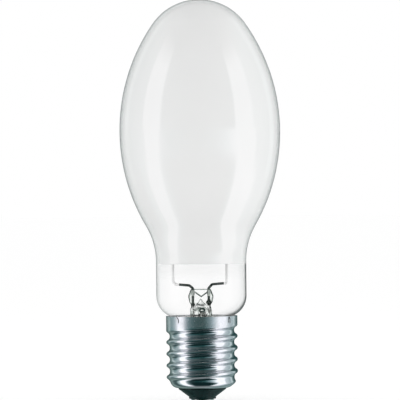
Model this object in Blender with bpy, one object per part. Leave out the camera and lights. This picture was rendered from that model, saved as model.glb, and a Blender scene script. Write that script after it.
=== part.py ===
# High pressure sodium lamp: a coated ellipsoidal bulb on an E40 screw cap.
# +Z runs up through the dome, and the origin is the middle of the centre contact's lower face.
# The front is the -Y side. Angles around the lamp start at +X and grow towards +Y.

import math

import bmesh
import bpy
from mathutils import Matrix, Vector

# Sizes are in millimetres, and MM turns them into metres.
MM = 0.001
TURN = 2 * math.pi

# Spaces and mesh fineness
GAP = 0.3  # left between pieces that touch on the real lamp
SEGMENTS = 28  # sides of a large round piece
SMALL_SEGMENTS = 14  # sides of a small round piece
ARC_STEP = 22.5  # degrees of bend for each straight of a wire
THREAD_ROWS = (0.0, 0.13, 0.3, 0.5, 0.7, 0.87)  # the thread's mesh rows, in pitches from a crest

# Screw cap: the shell
CAP_HEIGHT = 46.8
SKIRT_HEIGHT = 7.9
THREAD_CREST_RADIUS = 19.45
THREAD_DEPTH = 1.85
THREAD_PITCH = 6.35
THREAD_CREST_ROUND = 1.2
THREAD_ROOT_ROUND = 1.8
THREAD_FLANK = 60.0  # degrees between a flank and the lamp's axis
THREAD_RUN_OUT = 1.6
THREAD_RUN_IN = 4.8
THREAD_START_ABOVE_FLOOR = 4.9
SHELL_WALL = 0.6
SHELL_CORNER = 4.4
SHELL_LEDGE = 1.6

# Screw cap: the insulator, the contact and its solder
SOLDER_HEIGHT = 0.5
SOLDER_RADIUS = 2.6
SOLDER_SHANK_RADIUS = 0.9
SOLDER_BEVEL = 0.4
CONTACT_THICKNESS = 0.6
CONTACT_RADIUS = 6.1
CONTACT_EDGE = 0.2
FOOT_RADIUS = 7.35
FOOT_HEIGHT = 1.1
CONE_HEIGHT = 4.5
INSULATOR_LIP = 1.4
INSULATOR_INSIDE = 2.5

# Outer bulb
GLASS_WALL = 1.2
BULB_RADIUS = 43.75
DOME_TIP_RADIUS = 30.8
WIDEST_ABOVE_CAP = 100.6
TOP_ABOVE_CAP = 172.4
NECK_RADIUS = 24.55
SHOULDER_RADIUS = 39.0
NECK_TURN_RADIUS = 11.8
NECK_FILLET = 4.0
FILLET_BELOW_RIM = 3.3
SEAL_BELOW_RIM = 10.5
CEMENT_THICKNESS = 0.8
CEMENT_ANGLE = 45.0  # where the cement's top meets the neck's fillet

# Coating on the inside of the bulb
COATING_THICKNESS = 0.4
COATING_ABOVE_CAP = 18.9

# Glass stem
STEM_TUBE_RADIUS = 6.0
STEM_WALL = 1.2
FLARE_RADIUS = 7.0
STEM_HEIGHT = 26.6
PRESS_WIDTH = 13.0
PRESS_THICKNESS = 4.8
PRESS_HEIGHT = 11.5
PRESS_BLEND = 4.5
PRESS_EDGE = 0.9
HOLLOW_INTO_PRESS = 1.3
EXHAUST_HOLE_RADIUS = 1.3
EXHAUST_HOLE_BELOW_CEILING = 1.2
EXHAUST_RADIUS = 2.0
EXHAUST_WALL = 0.6
EXHAUST_DRAWN_LENGTH = 4.0

# Leads and frame rods
LEAD_RADIUS = 0.7
LEAD_TO_PRESS_EDGE = 2.2
LEAD_IN_PRESS = 9.2
LEAD_STRAIGHT = 0.4
LEFT_LEAD_RISE = 2.5
RIGHT_LEAD_RISE = 3.0
LEAD_SLOPE = 0.5
LEAD_RUN = 1.9
LEAD_BEND = 1.6
ROD_RADIUS = 0.7
LEFT_ROD_TO_GLASS = 7.95
RIGHT_ROD_TO_GLASS = 9.45
LEFT_WELD_TO_ROD = 3.1
RIGHT_WELD_TO_ROD = 1.6
ROD_TOP_BEND = 4.0
BAR_BELOW_TOP = 17.7

# Arc tube
ARC_TUBE_RADIUS = 3.75
ARC_TUBE_WALL = 0.75
BAR_TO_NIOBIUM = 3.0
NIOBIUM_PROUD = 10.0
NIOBIUM_RADIUS = 1.5
NIOBIUM_WALL = 0.7
PLUG_FLANGE = 1.2
PLUG_DEPTH = 3.0
ELECTRODE_REACH = 8.0
ELECTRODE_GRIP = 4.0
COIL_TURNS = 5
COIL_PITCH = 0.9
COIL_DEPTH = 0.6
IGNITION_RADIUS = 0.3
IGNITION_FROM_END = 8.0
IGNITION_LOOP = 300.0

# Straps, springs and getters
STRAP_WIDTH = 5.6
STRAP_THICKNESS = 0.6
STRAP_FROM_TUBE_END = 6.5
ROD_PAST_STRAP = 2.0
SPRING_WIDTH = 4.0
SPRING_THICKNESS = 0.3
SPRING_START = 4.0
SPRING_BEND = 5.0
SPRING_LEG = 9.0
GETTER_RADIUS = 2.4
GETTER_CHANNEL = 1.1
GETTER_WALL = 0.25
GETTER_ABOVE_NECK = 9.0

# Wires inside the cap
CAP_WIRE_RADIUS = 0.2
CAP_WIRE_BEND = 0.6
CAP_WIRE_BELOW_STEM = 1.6
CONTACT_WIRE_ABOVE_INSULATOR = 4.6
SIDE_WIRE_ANGLE = -40.0
SIDE_WIRE_LENGTH = 2.9
NOTCH_DEPTH = 1.2

# Heights and radii that follow from the sizes above
contact_floor = SOLDER_HEIGHT + GAP
insulator_floor = contact_floor + CONTACT_THICKNESS + GAP
cone_top = insulator_floor + FOOT_HEIGHT + CONE_HEIGHT
shell_floor = cone_top + GAP
thread_root_radius = THREAD_CREST_RADIUS - THREAD_DEPTH
thread_base = shell_floor + SHELL_CORNER
thread_top = CAP_HEIGHT - SKIRT_HEIGHT
skirt_base = thread_top + THREAD_RUN_OUT + THREAD_PITCH / 2
crest_height = thread_top - THREAD_PITCH / 2
skirt_bore = THREAD_CREST_RADIUS - SHELL_WALL
thread_bore = thread_root_radius - SHELL_WALL
shell_flat_radius = thread_root_radius - SHELL_CORNER
mouth_radius = shell_flat_radius - SHELL_LEDGE
flange_floor = shell_floor + SHELL_WALL + GAP
insulator_top = flange_floor + INSULATOR_INSIDE

widest_height = CAP_HEIGHT + WIDEST_ABOVE_CAP
top_height = CAP_HEIGHT + TOP_ABOVE_CAP
tip_centre = top_height - DOME_TIP_RADIUS
tip_rise = tip_centre - widest_height
side_radius = (tip_rise**2 + BULB_RADIUS**2 - DOME_TIP_RADIUS**2) / (2 * (BULB_RADIUS - DOME_TIP_RADIUS))
side_centre = BULB_RADIUS - side_radius
tip_angle = math.atan2(tip_rise, -side_centre)
shoulder_reach = side_radius + SHOULDER_RADIUS
shoulder_angle = math.acos((shoulder_reach - BULB_RADIUS + NECK_RADIUS) / shoulder_reach)
neck_top = widest_height - shoulder_reach * math.sin(shoulder_angle)
seal_radius = thread_bore - 2 * GAP - CEMENT_THICKNESS
fillet_height = CAP_HEIGHT - FILLET_BELOW_RIM
turn_centre = NECK_RADIUS - NECK_TURN_RADIUS
fillet_centre = seal_radius + NECK_FILLET
turn_angle = math.acos((fillet_centre - turn_centre) / (NECK_TURN_RADIUS + NECK_FILLET))
turn_height = fillet_height + (NECK_TURN_RADIUS + NECK_FILLET) * math.sin(turn_angle)
seal_height = CAP_HEIGHT - SEAL_BELOW_RIM
coating_height = CAP_HEIGHT + COATING_ABOVE_CAP

stem_foot = seal_height - GAP - STEM_WALL
press_top = stem_foot + STEM_HEIGHT
press_base = press_top - PRESS_HEIGHT
hollow_top = press_base + HOLLOW_INTO_PRESS
lead_offset = PRESS_WIDTH / 2 - LEAD_TO_PRESS_EDGE
lead_foot = press_top - LEAD_IN_PRESS
cap_wire_top = lead_foot - GAP
exhaust_top = hollow_top - GAP
contact_wire_turn = insulator_top + CONTACT_WIRE_ABOVE_INSULATOR
exhaust_tip = contact_wire_turn + lead_offset

neck_bore = NECK_RADIUS - GLASS_WALL
left_rod = -(neck_bore - LEFT_ROD_TO_GLASS)
right_rod = neck_bore - RIGHT_ROD_TO_GLASS
bar_height = top_height - BAR_BELOW_TOP
niobium_end = bar_height - BAR_TO_NIOBIUM - widest_height
arc_half = niobium_end - NIOBIUM_PROUD
strap_place = arc_half + STRAP_FROM_TUBE_END
arc_tube_bore = ARC_TUBE_RADIUS - ARC_TUBE_WALL
plug_end = arc_half - PLUG_DEPTH
shank_radius = NIOBIUM_RADIUS - NIOBIUM_WALL - GAP

# Finishes: colour, roughness, metallic, transmission
CLEAR_GLASS = ((0.92, 0.95, 0.95), 0.02, 0.0, 1.0)
COATING = ((0.86, 0.86, 0.85), 0.9, 0.0, 0.0)
ALUMINA = ((0.88, 0.87, 0.83), 0.5, 0.0, 0.2)
BLACK_GLASS = ((0.012, 0.016, 0.018), 0.15, 0.0, 0.0)
CEMENT = ((0.62, 0.58, 0.5), 0.95, 0.0, 0.0)
NICKEL = ((0.72, 0.74, 0.75), 0.22, 1.0, 0.0)
DARK_WIRE = ((0.09, 0.11, 0.11), 0.5, 0.7, 0.0)
NIOBIUM = ((0.42, 0.43, 0.45), 0.35, 1.0, 0.0)
TUNGSTEN = ((0.3, 0.3, 0.31), 0.45, 1.0, 0.0)
AMALGAM = ((0.75, 0.76, 0.78), 0.1, 1.0, 0.0)
STEEL = ((0.45, 0.46, 0.47), 0.4, 1.0, 0.0)
COPPER = ((0.72, 0.4, 0.25), 0.35, 1.0, 0.0)
TIN_PLATE = ((0.66, 0.68, 0.68), 0.3, 1.0, 0.0)
SOLDER = ((0.62, 0.64, 0.66), 0.4, 1.0, 0.0)


# Outlines

def arc(centre, radius, start, end, steps):
    """Points (radius, height) along an arc, with angles from +radius towards +height."""
    angles = [start + (end - start) * step / steps for step in range(steps + 1)]
    return [(centre[0] + radius * math.cos(a), centre[1] + radius * math.sin(a)) for a in angles]


def body_outline(inset):
    """The bulb from the top of its neck to its tip, `inset` inside the outer face."""
    shoulder_centre = (NECK_RADIUS + SHOULDER_RADIUS, neck_top)
    shoulder = arc(shoulder_centre, SHOULDER_RADIUS + inset, math.pi, math.pi - shoulder_angle, 3)
    side = arc((side_centre, widest_height), side_radius - inset, -shoulder_angle, tip_angle, 9)
    tip = arc((0.0, tip_centre), DOME_TIP_RADIUS - inset, tip_angle, math.pi / 2, 5)
    return shoulder + side[1:] + tip[1:-1] + [(0.0, top_height - inset)]


def neck_outline(inset):
    """The neck from its sealed end up to where it starts to straighten."""
    fillet = arc((fillet_centre, fillet_height), NECK_FILLET + inset, math.pi, math.pi - turn_angle, 2)
    turn = arc((turn_centre, turn_height), NECK_TURN_RADIUS - inset, -turn_angle, 0.0, 3)
    return [(seal_radius - inset, seal_height)] + fillet + turn[1:]


def fade(value):
    """A smooth step from 0 to 1."""
    limited = min(max(value, 0.0), 1.0)
    return limited * limited * (3 - 2 * limited)


def groove_depth(from_crest):
    """Depth of the thread below its crest, by the distance along Z from the crest's middle."""
    slope = math.radians(THREAD_FLANK)
    crest_drop = THREAD_CREST_ROUND * (1 - math.cos(slope))
    root_drop = THREAD_ROOT_ROUND * (1 - math.cos(slope))
    flank_start = THREAD_CREST_ROUND * math.sin(slope)
    flank_end = flank_start + (THREAD_DEPTH - crest_drop - root_drop) / math.tan(slope)
    root_start = flank_end + THREAD_ROOT_ROUND * math.sin(slope)
    if from_crest < flank_start:
        return THREAD_CREST_ROUND - math.sqrt(THREAD_CREST_ROUND**2 - from_crest**2)
    if from_crest < flank_end:
        return crest_drop + (from_crest - flank_start) * math.tan(slope)
    from_root = max(root_start - from_crest, 0.0)
    return THREAD_DEPTH - THREAD_ROOT_ROUND + math.sqrt(THREAD_ROOT_ROUND**2 - from_root**2)


def thread_radius(turns, height):
    """Radius of the rolled shell. The thread is right-handed and fades out at both ends."""
    place = (height - crest_height) / THREAD_PITCH - turns
    crest = round(place)
    groove = math.floor(place) + 0.5
    nearest_crest = crest_height + (crest + turns) * THREAD_PITCH
    nearest_groove = crest_height + (groove + turns) * THREAD_PITCH
    groove_fade = fade((thread_top + THREAD_RUN_OUT - nearest_groove) / THREAD_RUN_OUT)
    thread_start = shell_floor + THREAD_START_ABOVE_FLOOR
    crest_fade = fade((nearest_crest - thread_start) / THREAD_RUN_IN + 1)
    depth = groove_depth(abs(place - crest) * THREAD_PITCH) * groove_fade
    return thread_root_radius + crest_fade * (THREAD_DEPTH - depth)


# Meshes, wires and finishes

def finished(name, data, finish, parent):
    """An object of its own with its own material, under `parent`."""
    colour, roughness, metallic, transmission = finish
    material = bpy.data.materials.new(name + "_finish")
    material.use_nodes = True
    shader = material.node_tree.nodes["Principled BSDF"]
    shader.inputs["Base Color"].default_value = (*colour, 1.0)
    shader.inputs["Roughness"].default_value = roughness
    shader.inputs["Metallic"].default_value = metallic
    shader.inputs["Transmission Weight"].default_value = transmission
    data.materials.append(material)
    piece = bpy.data.objects.new(name, data)
    piece.parent = parent
    bpy.context.scene.collection.objects.link(piece)
    return piece


def mesh_from(name, bm):
    """A closed mesh with its faces outwards, smooth where it is round."""
    bmesh.ops.remove_doubles(bm, verts=bm.verts, dist=0.0001 * MM)
    bmesh.ops.recalc_face_normals(bm, faces=bm.faces)
    mesh = bpy.data.meshes.new(name)
    bm.to_mesh(mesh)
    bm.free()
    mesh.shade_smooth()
    mesh.set_sharp_from_angle(angle=math.radians(40))
    return mesh


def turned(name, outline, finish, parent, segments=SEGMENTS):
    """An outline of (radius, height) points spun about Z: a loop, or one with both ends on Z."""
    bm = bmesh.new()
    points = [bm.verts.new((radius * MM, 0.0, height * MM)) for radius, height in outline]
    ends_on_axis = outline[0][0] == 0.0 and outline[-1][0] == 0.0
    following = points[1:] if ends_on_axis else points[1:] + points[:1]
    edges = [bm.edges.new(pair) for pair in zip(points, following)]
    bmesh.ops.spin(
        bm, geom=points + edges, cent=(0, 0, 0), axis=(0, 0, 1), angle=TURN, steps=segments, use_merge=True
    )
    return finished(name, mesh_from(name, bm), finish, parent)


def add_face(bm, corners):
    """A face of the corners that differ, or none where they close up to a line."""
    distinct = list(dict.fromkeys(corners))
    if len(distinct) > 2:
        bm.faces.new(distinct)


def add_ring(bm, points):
    return [bm.verts.new(Vector(point) * MM) for point in points]


def bridge(bm, lower, upper):
    """Faces between two rings with as many points."""
    for index in range(len(lower)):
        after = (index + 1) % len(lower)
        add_face(bm, (lower[index], lower[after], upper[after], upper[index]))


def lofted(name, rings, finish, parent):
    """A solid through rings of points, closed by a face at each end."""
    bm = bmesh.new()
    loops = [add_ring(bm, ring) for ring in rings]
    for lower, upper in zip(loops, loops[1:]):
        bridge(bm, lower, upper)
    bm.faces.new(loops[0])
    bm.faces.new(loops[-1])
    return finished(name, mesh_from(name, bm), finish, parent)


def rounded(route, bends):
    """The route's points, with an arc of the given radius at each inner point."""
    points = [Vector(route[0])]
    for before, corner, after, bend in zip(route, route[1:], route[2:], bends):
        back = (Vector(before) - Vector(corner)).normalized()
        ahead = (Vector(after) - Vector(corner)).normalized()
        half = back.angle(ahead) / 2
        centre = Vector(corner) + (back + ahead).normalized() * bend / math.sin(half)
        start = Vector(corner) + back * bend / math.tan(half) - centre
        turn = math.pi - 2 * half
        axis = back.cross(ahead)
        steps = max(1, round(math.degrees(turn) / ARC_STEP))
        for step in range(steps + 1):
            points.append(centre + Matrix.Rotation(-turn * step / steps, 3, axis) @ start)
    points.append(Vector(route[-1]))
    return points


def wire(name, points, radius, finish, parent, fineness=2):
    """A round wire along the points, with flat ends."""
    curve = bpy.data.curves.new(name, "CURVE")
    curve.dimensions = "3D"
    curve.bevel_depth = radius * MM
    curve.bevel_resolution = fineness
    curve.use_fill_caps = True
    spline = curve.splines.new("POLY")
    spline.points.add(len(points) - 1)
    for knot, point in zip(spline.points, points):
        knot.co = (*(Vector(point) * MM), 1.0)
    return finished(name, curve, finish, parent)


def ribbon(name, points, width, thickness, finish, parent):
    """A flat strip along points in the XZ plane, `width` wide along Y."""
    rings = []
    for index, point in enumerate(points):
        before = points[max(index - 1, 0)]
        after = points[min(index + 1, len(points) - 1)]
        along = (after - before).normalized()
        up = Vector((-along.z, 0.0, along.x)) * thickness / 2
        side = Vector((0.0, width / 2, 0.0))
        rings.append([point + up + side, point + up - side, point - up - side, point - up + side])
    return lofted(name, rings, finish, parent)


def cut_with(target, cutter):
    """Takes the cutter's space out of the target."""
    cutter.hide_render = True
    cutter.display_type = "WIRE"
    modifier = target.modifiers.new("cut_" + cutter.name, "BOOLEAN")
    modifier.operation = "DIFFERENCE"
    modifier.solver = "EXACT"
    modifier.object = cutter


def round_cutter(name, radius, length, centre, parent, tilt=0.0):
    """A cylinder along Z, or turned about X by `tilt`."""
    bm = bmesh.new()
    width = radius * MM
    bmesh.ops.create_cone(
        bm, cap_ends=True, segments=SMALL_SEGMENTS, radius1=width, radius2=width, depth=length * MM
    )
    cutter = bpy.data.objects.new(name, mesh_from(name, bm))
    cutter.parent = parent
    cutter.location = Vector(centre) * MM
    cutter.rotation_euler.x = tilt
    bpy.context.scene.collection.objects.link(cutter)
    return cutter


def side_wire_cutter(name, inner, outer, bottom, top, parent):
    """A box from one radius to another, as wide as the side wire's way and at its angle."""
    bm = bmesh.new()
    bmesh.ops.create_cube(bm, size=MM)
    size = (outer - inner, 2 * (CAP_WIRE_RADIUS + GAP), top - bottom)
    bmesh.ops.scale(bm, vec=size, verts=bm.verts)
    middle = ((outer + inner) / 2, 0.0, (top + bottom) / 2)
    bmesh.ops.translate(bm, vec=Vector(middle) * MM, verts=bm.verts)
    cutter = bpy.data.objects.new(name, mesh_from(name, bm))
    cutter.parent = parent
    cutter.rotation_euler.z = math.radians(SIDE_WIRE_ANGLE)
    bpy.context.scene.collection.objects.link(cutter)
    return cutter


# Screw cap

def thread_skin(bm, inset):
    """The threaded face, `inset` inside the outer one, in rows that follow the thread's helix.
    Rows past the thread's ends close up to a level ring. Returns the lower and the upper ring."""
    snap = THREAD_PITCH / 25
    first = math.floor((thread_base - crest_height) / THREAD_PITCH) - 2
    last = math.ceil((skirt_base - crest_height) / THREAD_PITCH) + 1
    shares = [turn + row for turn in range(first, last) for row in THREAD_ROWS]
    columns = []
    for side in range(SEGMENTS):
        turns = side / SEGMENTS
        column = []
        made = {}
        for share in shares:
            height = crest_height + (share + turns) * THREAD_PITCH
            if height < thread_base + snap:
                height = thread_base
            if height > skirt_base - snap:
                height = skirt_base
            if height not in made:
                radius = thread_radius(turns, height) - inset
                point = (radius * math.cos(TURN * turns), radius * math.sin(TURN * turns), height)
                made[height] = bm.verts.new(Vector(point) * MM)
            column.append(made[height])
        columns.append(column)
    for side, column in enumerate(columns):
        if side < SEGMENTS - 1:
            following = columns[side + 1]
        else:
            following = columns[0][len(THREAD_ROWS):] + [columns[0][-1]] * len(THREAD_ROWS)
        for row in range(len(shares) - 1):
            add_face(bm, (column[row], following[row], following[row + 1], column[row + 1]))
    return [column[0] for column in columns], [column[-1] for column in columns]


def shell_face(bm, inset):
    """The shell's face from its mouth to its rim. Returns the ring at each end."""
    lower, upper = thread_skin(bm, inset)
    corner = arc((shell_flat_radius, thread_base), SHELL_CORNER - inset, -math.pi / 2, 0.0, 3)
    rings = []
    for radius, height in [(mouth_radius, shell_floor + inset)] + corner[:-1]:
        swell = fade((height - shell_floor - inset) / (SHELL_CORNER - inset))
        points = []
        for side in range(SEGMENTS):
            turns = side / SEGMENTS
            crest = thread_radius(turns, thread_base) - thread_root_radius
            reach = radius + crest * swell
            points.append((reach * math.cos(TURN * turns), reach * math.sin(TURN * turns), height))
        rings.append(add_ring(bm, points))
    rings.append(lower)
    for below, above in zip(rings, rings[1:]):
        bridge(bm, below, above)
    rim_radius = THREAD_CREST_RADIUS - inset
    angles = [TURN * side / SEGMENTS for side in range(SEGMENTS)]
    rim = add_ring(bm, [(rim_radius * math.cos(a), rim_radius * math.sin(a), CAP_HEIGHT) for a in angles])
    bridge(bm, upper, rim)
    return rings[0], rim


def make_cap_shell(lamp):
    bm = bmesh.new()
    outer_mouth, outer_rim = shell_face(bm, 0.0)
    inner_mouth, inner_rim = shell_face(bm, SHELL_WALL)
    bridge(bm, outer_mouth, inner_mouth)
    bridge(bm, outer_rim, inner_rim)
    shell = finished("cap_shell", mesh_from("cap_shell", bm), NICKEL, lamp)
    reach = 2 * SHELL_WALL
    notch_floor = CAP_HEIGHT - NOTCH_DEPTH
    notch = side_wire_cutter(
        "rim_notch", skirt_bore - reach, THREAD_CREST_RADIUS + reach, notch_floor, CAP_HEIGHT + reach, lamp
    )
    cut_with(shell, notch)


def make_cap_insulator(lamp):
    """Black glass cast into the shell's mouth, with a hole for the contact's wire."""
    hole = SOLDER_SHANK_RADIUS + GAP
    flange_radius = shell_flat_radius - GAP
    outline = [
        (hole, insulator_floor),
        (FOOT_RADIUS, insulator_floor),
        (FOOT_RADIUS, insulator_floor + FOOT_HEIGHT),
        (mouth_radius + INSULATOR_LIP, cone_top),
        (mouth_radius - GAP, cone_top),
        (mouth_radius - GAP, flange_floor),
        (flange_radius, flange_floor),
        (flange_radius, insulator_top),
        (hole, insulator_top),
    ]
    turned("cap_insulator", outline, BLACK_GLASS, lamp)


def make_contact(lamp):
    hole = SOLDER_SHANK_RADIUS + GAP
    plate_top = contact_floor + CONTACT_THICKNESS
    plate = [
        (hole, contact_floor),
        (CONTACT_RADIUS - CONTACT_EDGE, contact_floor),
        (CONTACT_RADIUS, contact_floor + CONTACT_EDGE),
        (CONTACT_RADIUS, plate_top),
        (hole, plate_top),
    ]
    turned("centre_contact", plate, TIN_PLATE, lamp)
    button = [
        (0.0, 0.0),
        (SOLDER_RADIUS - SOLDER_BEVEL, 0.0),
        (SOLDER_RADIUS, SOLDER_HEIGHT),
        (SOLDER_SHANK_RADIUS, SOLDER_HEIGHT),
        (SOLDER_SHANK_RADIUS, plate_top),
        (0.0, plate_top),
    ]
    turned("contact_solder", button, SOLDER, lamp, SMALL_SEGMENTS)


def make_basing_cement(lamp):
    """The ring between neck and shell: thin beside the thread, thick in the skirt."""
    foot = seal_height + CEMENT_THICKNESS
    top_angle = math.pi - math.radians(CEMENT_ANGLE)
    neck_side = arc((fillet_centre, fillet_height), NECK_FILLET - GAP, math.pi, top_angle, 2)
    outline = [(seal_radius + GAP, foot)] + neck_side
    outline += [
        (skirt_bore - GAP, neck_side[-1][1]),
        (skirt_bore - GAP, skirt_base),
        (thread_bore - GAP, skirt_base),
        (thread_bore - GAP, foot),
    ]
    cement = turned("basing_cement", outline, CEMENT, lamp)
    slot = side_wire_cutter("wire_slot", seal_radius - GAP, skirt_bore, foot - GAP, CAP_HEIGHT, lamp)
    cut_with(cement, slot)


# Glass and coating

def make_outer_bulb(lamp):
    outside = neck_outline(0.0) + body_outline(0.0)
    inside = neck_outline(GLASS_WALL) + body_outline(GLASS_WALL)
    turned("outer_bulb", outside + inside[::-1], CLEAR_GLASS, lamp)


def make_diffuser_coating(lamp):
    outer = GLASS_WALL + GAP
    inner = outer + COATING_THICKNESS
    outside = [(NECK_RADIUS - outer, coating_height)] + body_outline(outer)
    inside = [(NECK_RADIUS - inner, coating_height)] + body_outline(inner)
    turned("diffuser_coating", outside + inside[::-1], COATING, lamp)


def stem_ring(half_width, half_depth, height, squareness=2.0):
    """A ring from round (2) to nearly a rectangle (4 and more)."""
    points = []
    for side in range(SEGMENTS):
        angle = TURN * side / SEGMENTS
        x = math.copysign(abs(math.cos(angle)) ** (2 / squareness), math.cos(angle)) * half_width
        y = math.copysign(abs(math.sin(angle)) ** (2 / squareness), math.sin(angle)) * half_depth
        points.append((x, y, height))
    return points


def make_glass_stem(lamp):
    """The flare, the tube and the pinched press, with holes for the leads and the exhaust."""
    flare_centre = (STEM_TUBE_RADIUS + FLARE_RADIUS, stem_foot + STEM_WALL + FLARE_RADIUS)
    inner_flare = arc(flare_centre, FLARE_RADIUS + STEM_WALL, math.pi, 1.5 * math.pi, 4)
    outer_flare = arc(flare_centre, FLARE_RADIUS, 1.5 * math.pi, math.pi, 4)
    bore = STEM_TUBE_RADIUS - STEM_WALL
    half_width, half_depth = PRESS_WIDTH / 2, PRESS_THICKNESS / 2
    rings = [
        stem_ring(bore - STEM_WALL / 2, half_depth, hollow_top),
        stem_ring(bore, (bore + half_depth) / 2, press_base + HOLLOW_INTO_PRESS / 2),
        stem_ring(bore, bore, press_base - HOLLOW_INTO_PRESS),
    ]
    rings += [stem_ring(radius, radius, height) for radius, height in inner_flare]
    rings.append(stem_ring(seal_radius, seal_radius, stem_foot))
    rings.append(stem_ring(seal_radius, seal_radius, stem_foot + STEM_WALL))
    rings += [stem_ring(radius, radius, height) for radius, height in outer_flare]
    for step in range(4):
        share = step / 3
        blend = fade(share)
        width = STEM_TUBE_RADIUS + (half_width - STEM_TUBE_RADIUS) * blend
        depth = STEM_TUBE_RADIUS + (half_depth - STEM_TUBE_RADIUS) * blend
        rings.append(stem_ring(width, depth, press_base + PRESS_BLEND * share, 2 + 2 * blend))
    for inset, below_top in ((0.0, PRESS_EDGE), (PRESS_EDGE / 3, PRESS_EDGE / 3), (PRESS_EDGE, 0.0)):
        rings.append(stem_ring(half_width - inset, half_depth - inset, press_top - below_top, 4))
    stem = lofted("glass_stem", rings, CLEAR_GLASS, lamp)

    hole_foot = hollow_top - LEAD_RADIUS
    hole_length = press_top + STEM_WALL - hole_foot
    for name, x in (("left_lead_hole", -lead_offset), ("right_lead_hole", lead_offset)):
        centre = (x, 0.0, hole_foot + hole_length / 2)
        cut_with(stem, round_cutter(name, LEAD_RADIUS + GAP, hole_length, centre, lamp))
    reach = STEM_TUBE_RADIUS + STEM_WALL
    centre = (0.0, -reach / 2, hollow_top - EXHAUST_HOLE_BELOW_CEILING)
    cut_with(stem, round_cutter("exhaust_hole", EXHAUST_HOLE_RADIUS, reach, centre, lamp, math.pi / 2))


def make_exhaust_tube(lamp):
    """Open at the top, drawn out and closed at its tip."""
    bore = EXHAUST_RADIUS - EXHAUST_WALL
    shoulder = exhaust_tip + EXHAUST_DRAWN_LENGTH
    inside = [(0.0, shoulder - bore)] + arc((0.0, shoulder), bore, -math.pi / 3, 0.0, 2)
    outside = arc((0.0, shoulder), EXHAUST_RADIUS, 0.0, -math.pi / 3, 2) + [(0.0, exhaust_tip)]
    ends = [(bore, exhaust_top), (EXHAUST_RADIUS, exhaust_top)]
    turned("exhaust_tube", inside + ends + outside, CLEAR_GLASS, lamp, SMALL_SEGMENTS)


# Leads, rods and what they carry

def make_lead_and_rod(side, rod_x, weld_to_rod, rise, top_route, top_bends, lamp):
    """The dark lead out of the press, and the bright rod welded to its end."""
    out = math.copysign(1.0, rod_x)
    lead_x = out * lead_offset
    lead_level = press_top + rise
    weld_x = rod_x - out * weld_to_rod
    lead_route = [
        (lead_x, 0.0, lead_foot),
        (lead_x, 0.0, press_top + LEAD_STRAIGHT),
        (lead_x + out * LEAD_RUN, 0.0, lead_level - LEAD_SLOPE),
        (weld_x, 0.0, lead_level),
    ]
    wire("lead_in_" + side, rounded(lead_route, (LEAD_BEND, LEAD_BEND)), LEAD_RADIUS, DARK_WIRE, lamp)
    rod_route = [(weld_x + out * GAP, 0.0, lead_level), (rod_x, 0.0, lead_level)] + top_route
    bends = [weld_to_rod - 2 * GAP] + top_bends
    wire("frame_rod_" + side, rounded(rod_route, bends), ROD_RADIUS, NICKEL, lamp)


def make_leads_and_rods(lamp):
    over = [(left_rod, 0.0, bar_height), (right_rod, 0.0, bar_height)]
    make_lead_and_rod("left", left_rod, LEFT_WELD_TO_ROD, LEFT_LEAD_RISE, over, [ROD_TOP_BEND], lamp)
    up = [(right_rod, 0.0, widest_height - strap_place + ROD_PAST_STRAP)]
    make_lead_and_rod("right", right_rod, RIGHT_WELD_TO_ROD, RIGHT_LEAD_RISE, up, [], lamp)


def make_strap(name, rod_x, height, lamp):
    """A strip with round ends, holed for the niobium tube and for the frame rod."""
    out = math.copysign(1.0, rod_x)
    tube_end = [(out * x, y) for x, y in arc((0.0, 0.0), STRAP_WIDTH / 2, math.pi / 2, 1.5 * math.pi, 6)]
    rod_end = [(rod_x - x, -y) for x, y in tube_end]
    floor = height - STRAP_THICKNESS / 2
    bm = bmesh.new()
    face = bm.faces.new(add_ring(bm, [(x, y, floor) for x, y in tube_end + rod_end]))
    grown = bmesh.ops.extrude_face_region(bm, geom=[face])["geom"]
    lifted = [item for item in grown if isinstance(item, bmesh.types.BMVert)]
    bmesh.ops.translate(bm, vec=(0, 0, STRAP_THICKNESS * MM), verts=lifted)
    strap = finished(name, mesh_from(name, bm), NICKEL, lamp)
    for suffix, x, radius in (("_tube_hole", 0.0, NIOBIUM_RADIUS), ("_rod_hole", rod_x, ROD_RADIUS)):
        hole = round_cutter(name + suffix, radius + GAP, STRAP_WIDTH, (x, 0.0, height), lamp)
        cut_with(strap, hole)


def make_dome_spring(name, out, lamp):
    """A leaf from the top of the frame that bends down against the dome."""
    level = bar_height + ROD_RADIUS + GAP + SPRING_THICKNESS / 2
    dome = DOME_TIP_RADIUS - GLASS_WALL - GAP - COATING_THICKNESS
    reach = dome - GAP - SPRING_BEND - SPRING_THICKNESS / 2
    leg_x = math.sqrt(reach**2 - (level - SPRING_BEND - tip_centre) ** 2) + SPRING_BEND
    ends = ((SPRING_START, level), (leg_x, level), (leg_x, level - SPRING_LEG))
    route = [(out * x, 0.0, z) for x, z in ends]
    ribbon(name, rounded(route, [SPRING_BEND]), SPRING_WIDTH, SPRING_THICKNESS, STEEL, lamp)


def make_getter(name, rod_x, lamp):
    """A channel ring, open upwards, fixed to the inner side of its rod."""
    half = GETTER_CHANNEL / 2
    inner, outer = GETTER_RADIUS - half, GETTER_RADIUS + half
    outline = [
        (inner, 0.0),
        (outer, 0.0),
        (outer, GETTER_CHANNEL),
        (outer - GETTER_WALL, GETTER_CHANNEL),
        (outer - GETTER_WALL, GETTER_WALL),
        (inner + GETTER_WALL, GETTER_WALL),
        (inner + GETTER_WALL, GETTER_CHANNEL),
        (inner, GETTER_CHANNEL),
    ]
    getter = turned(name, outline, STEEL, lamp, SMALL_SEGMENTS)
    x = rod_x - math.copysign(ROD_RADIUS + GAP + outer, rod_x)
    getter.location = Vector((x, 0.0, neck_top + GETTER_ABOVE_NECK)) * MM


# Arc tube, built about its own middle

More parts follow.
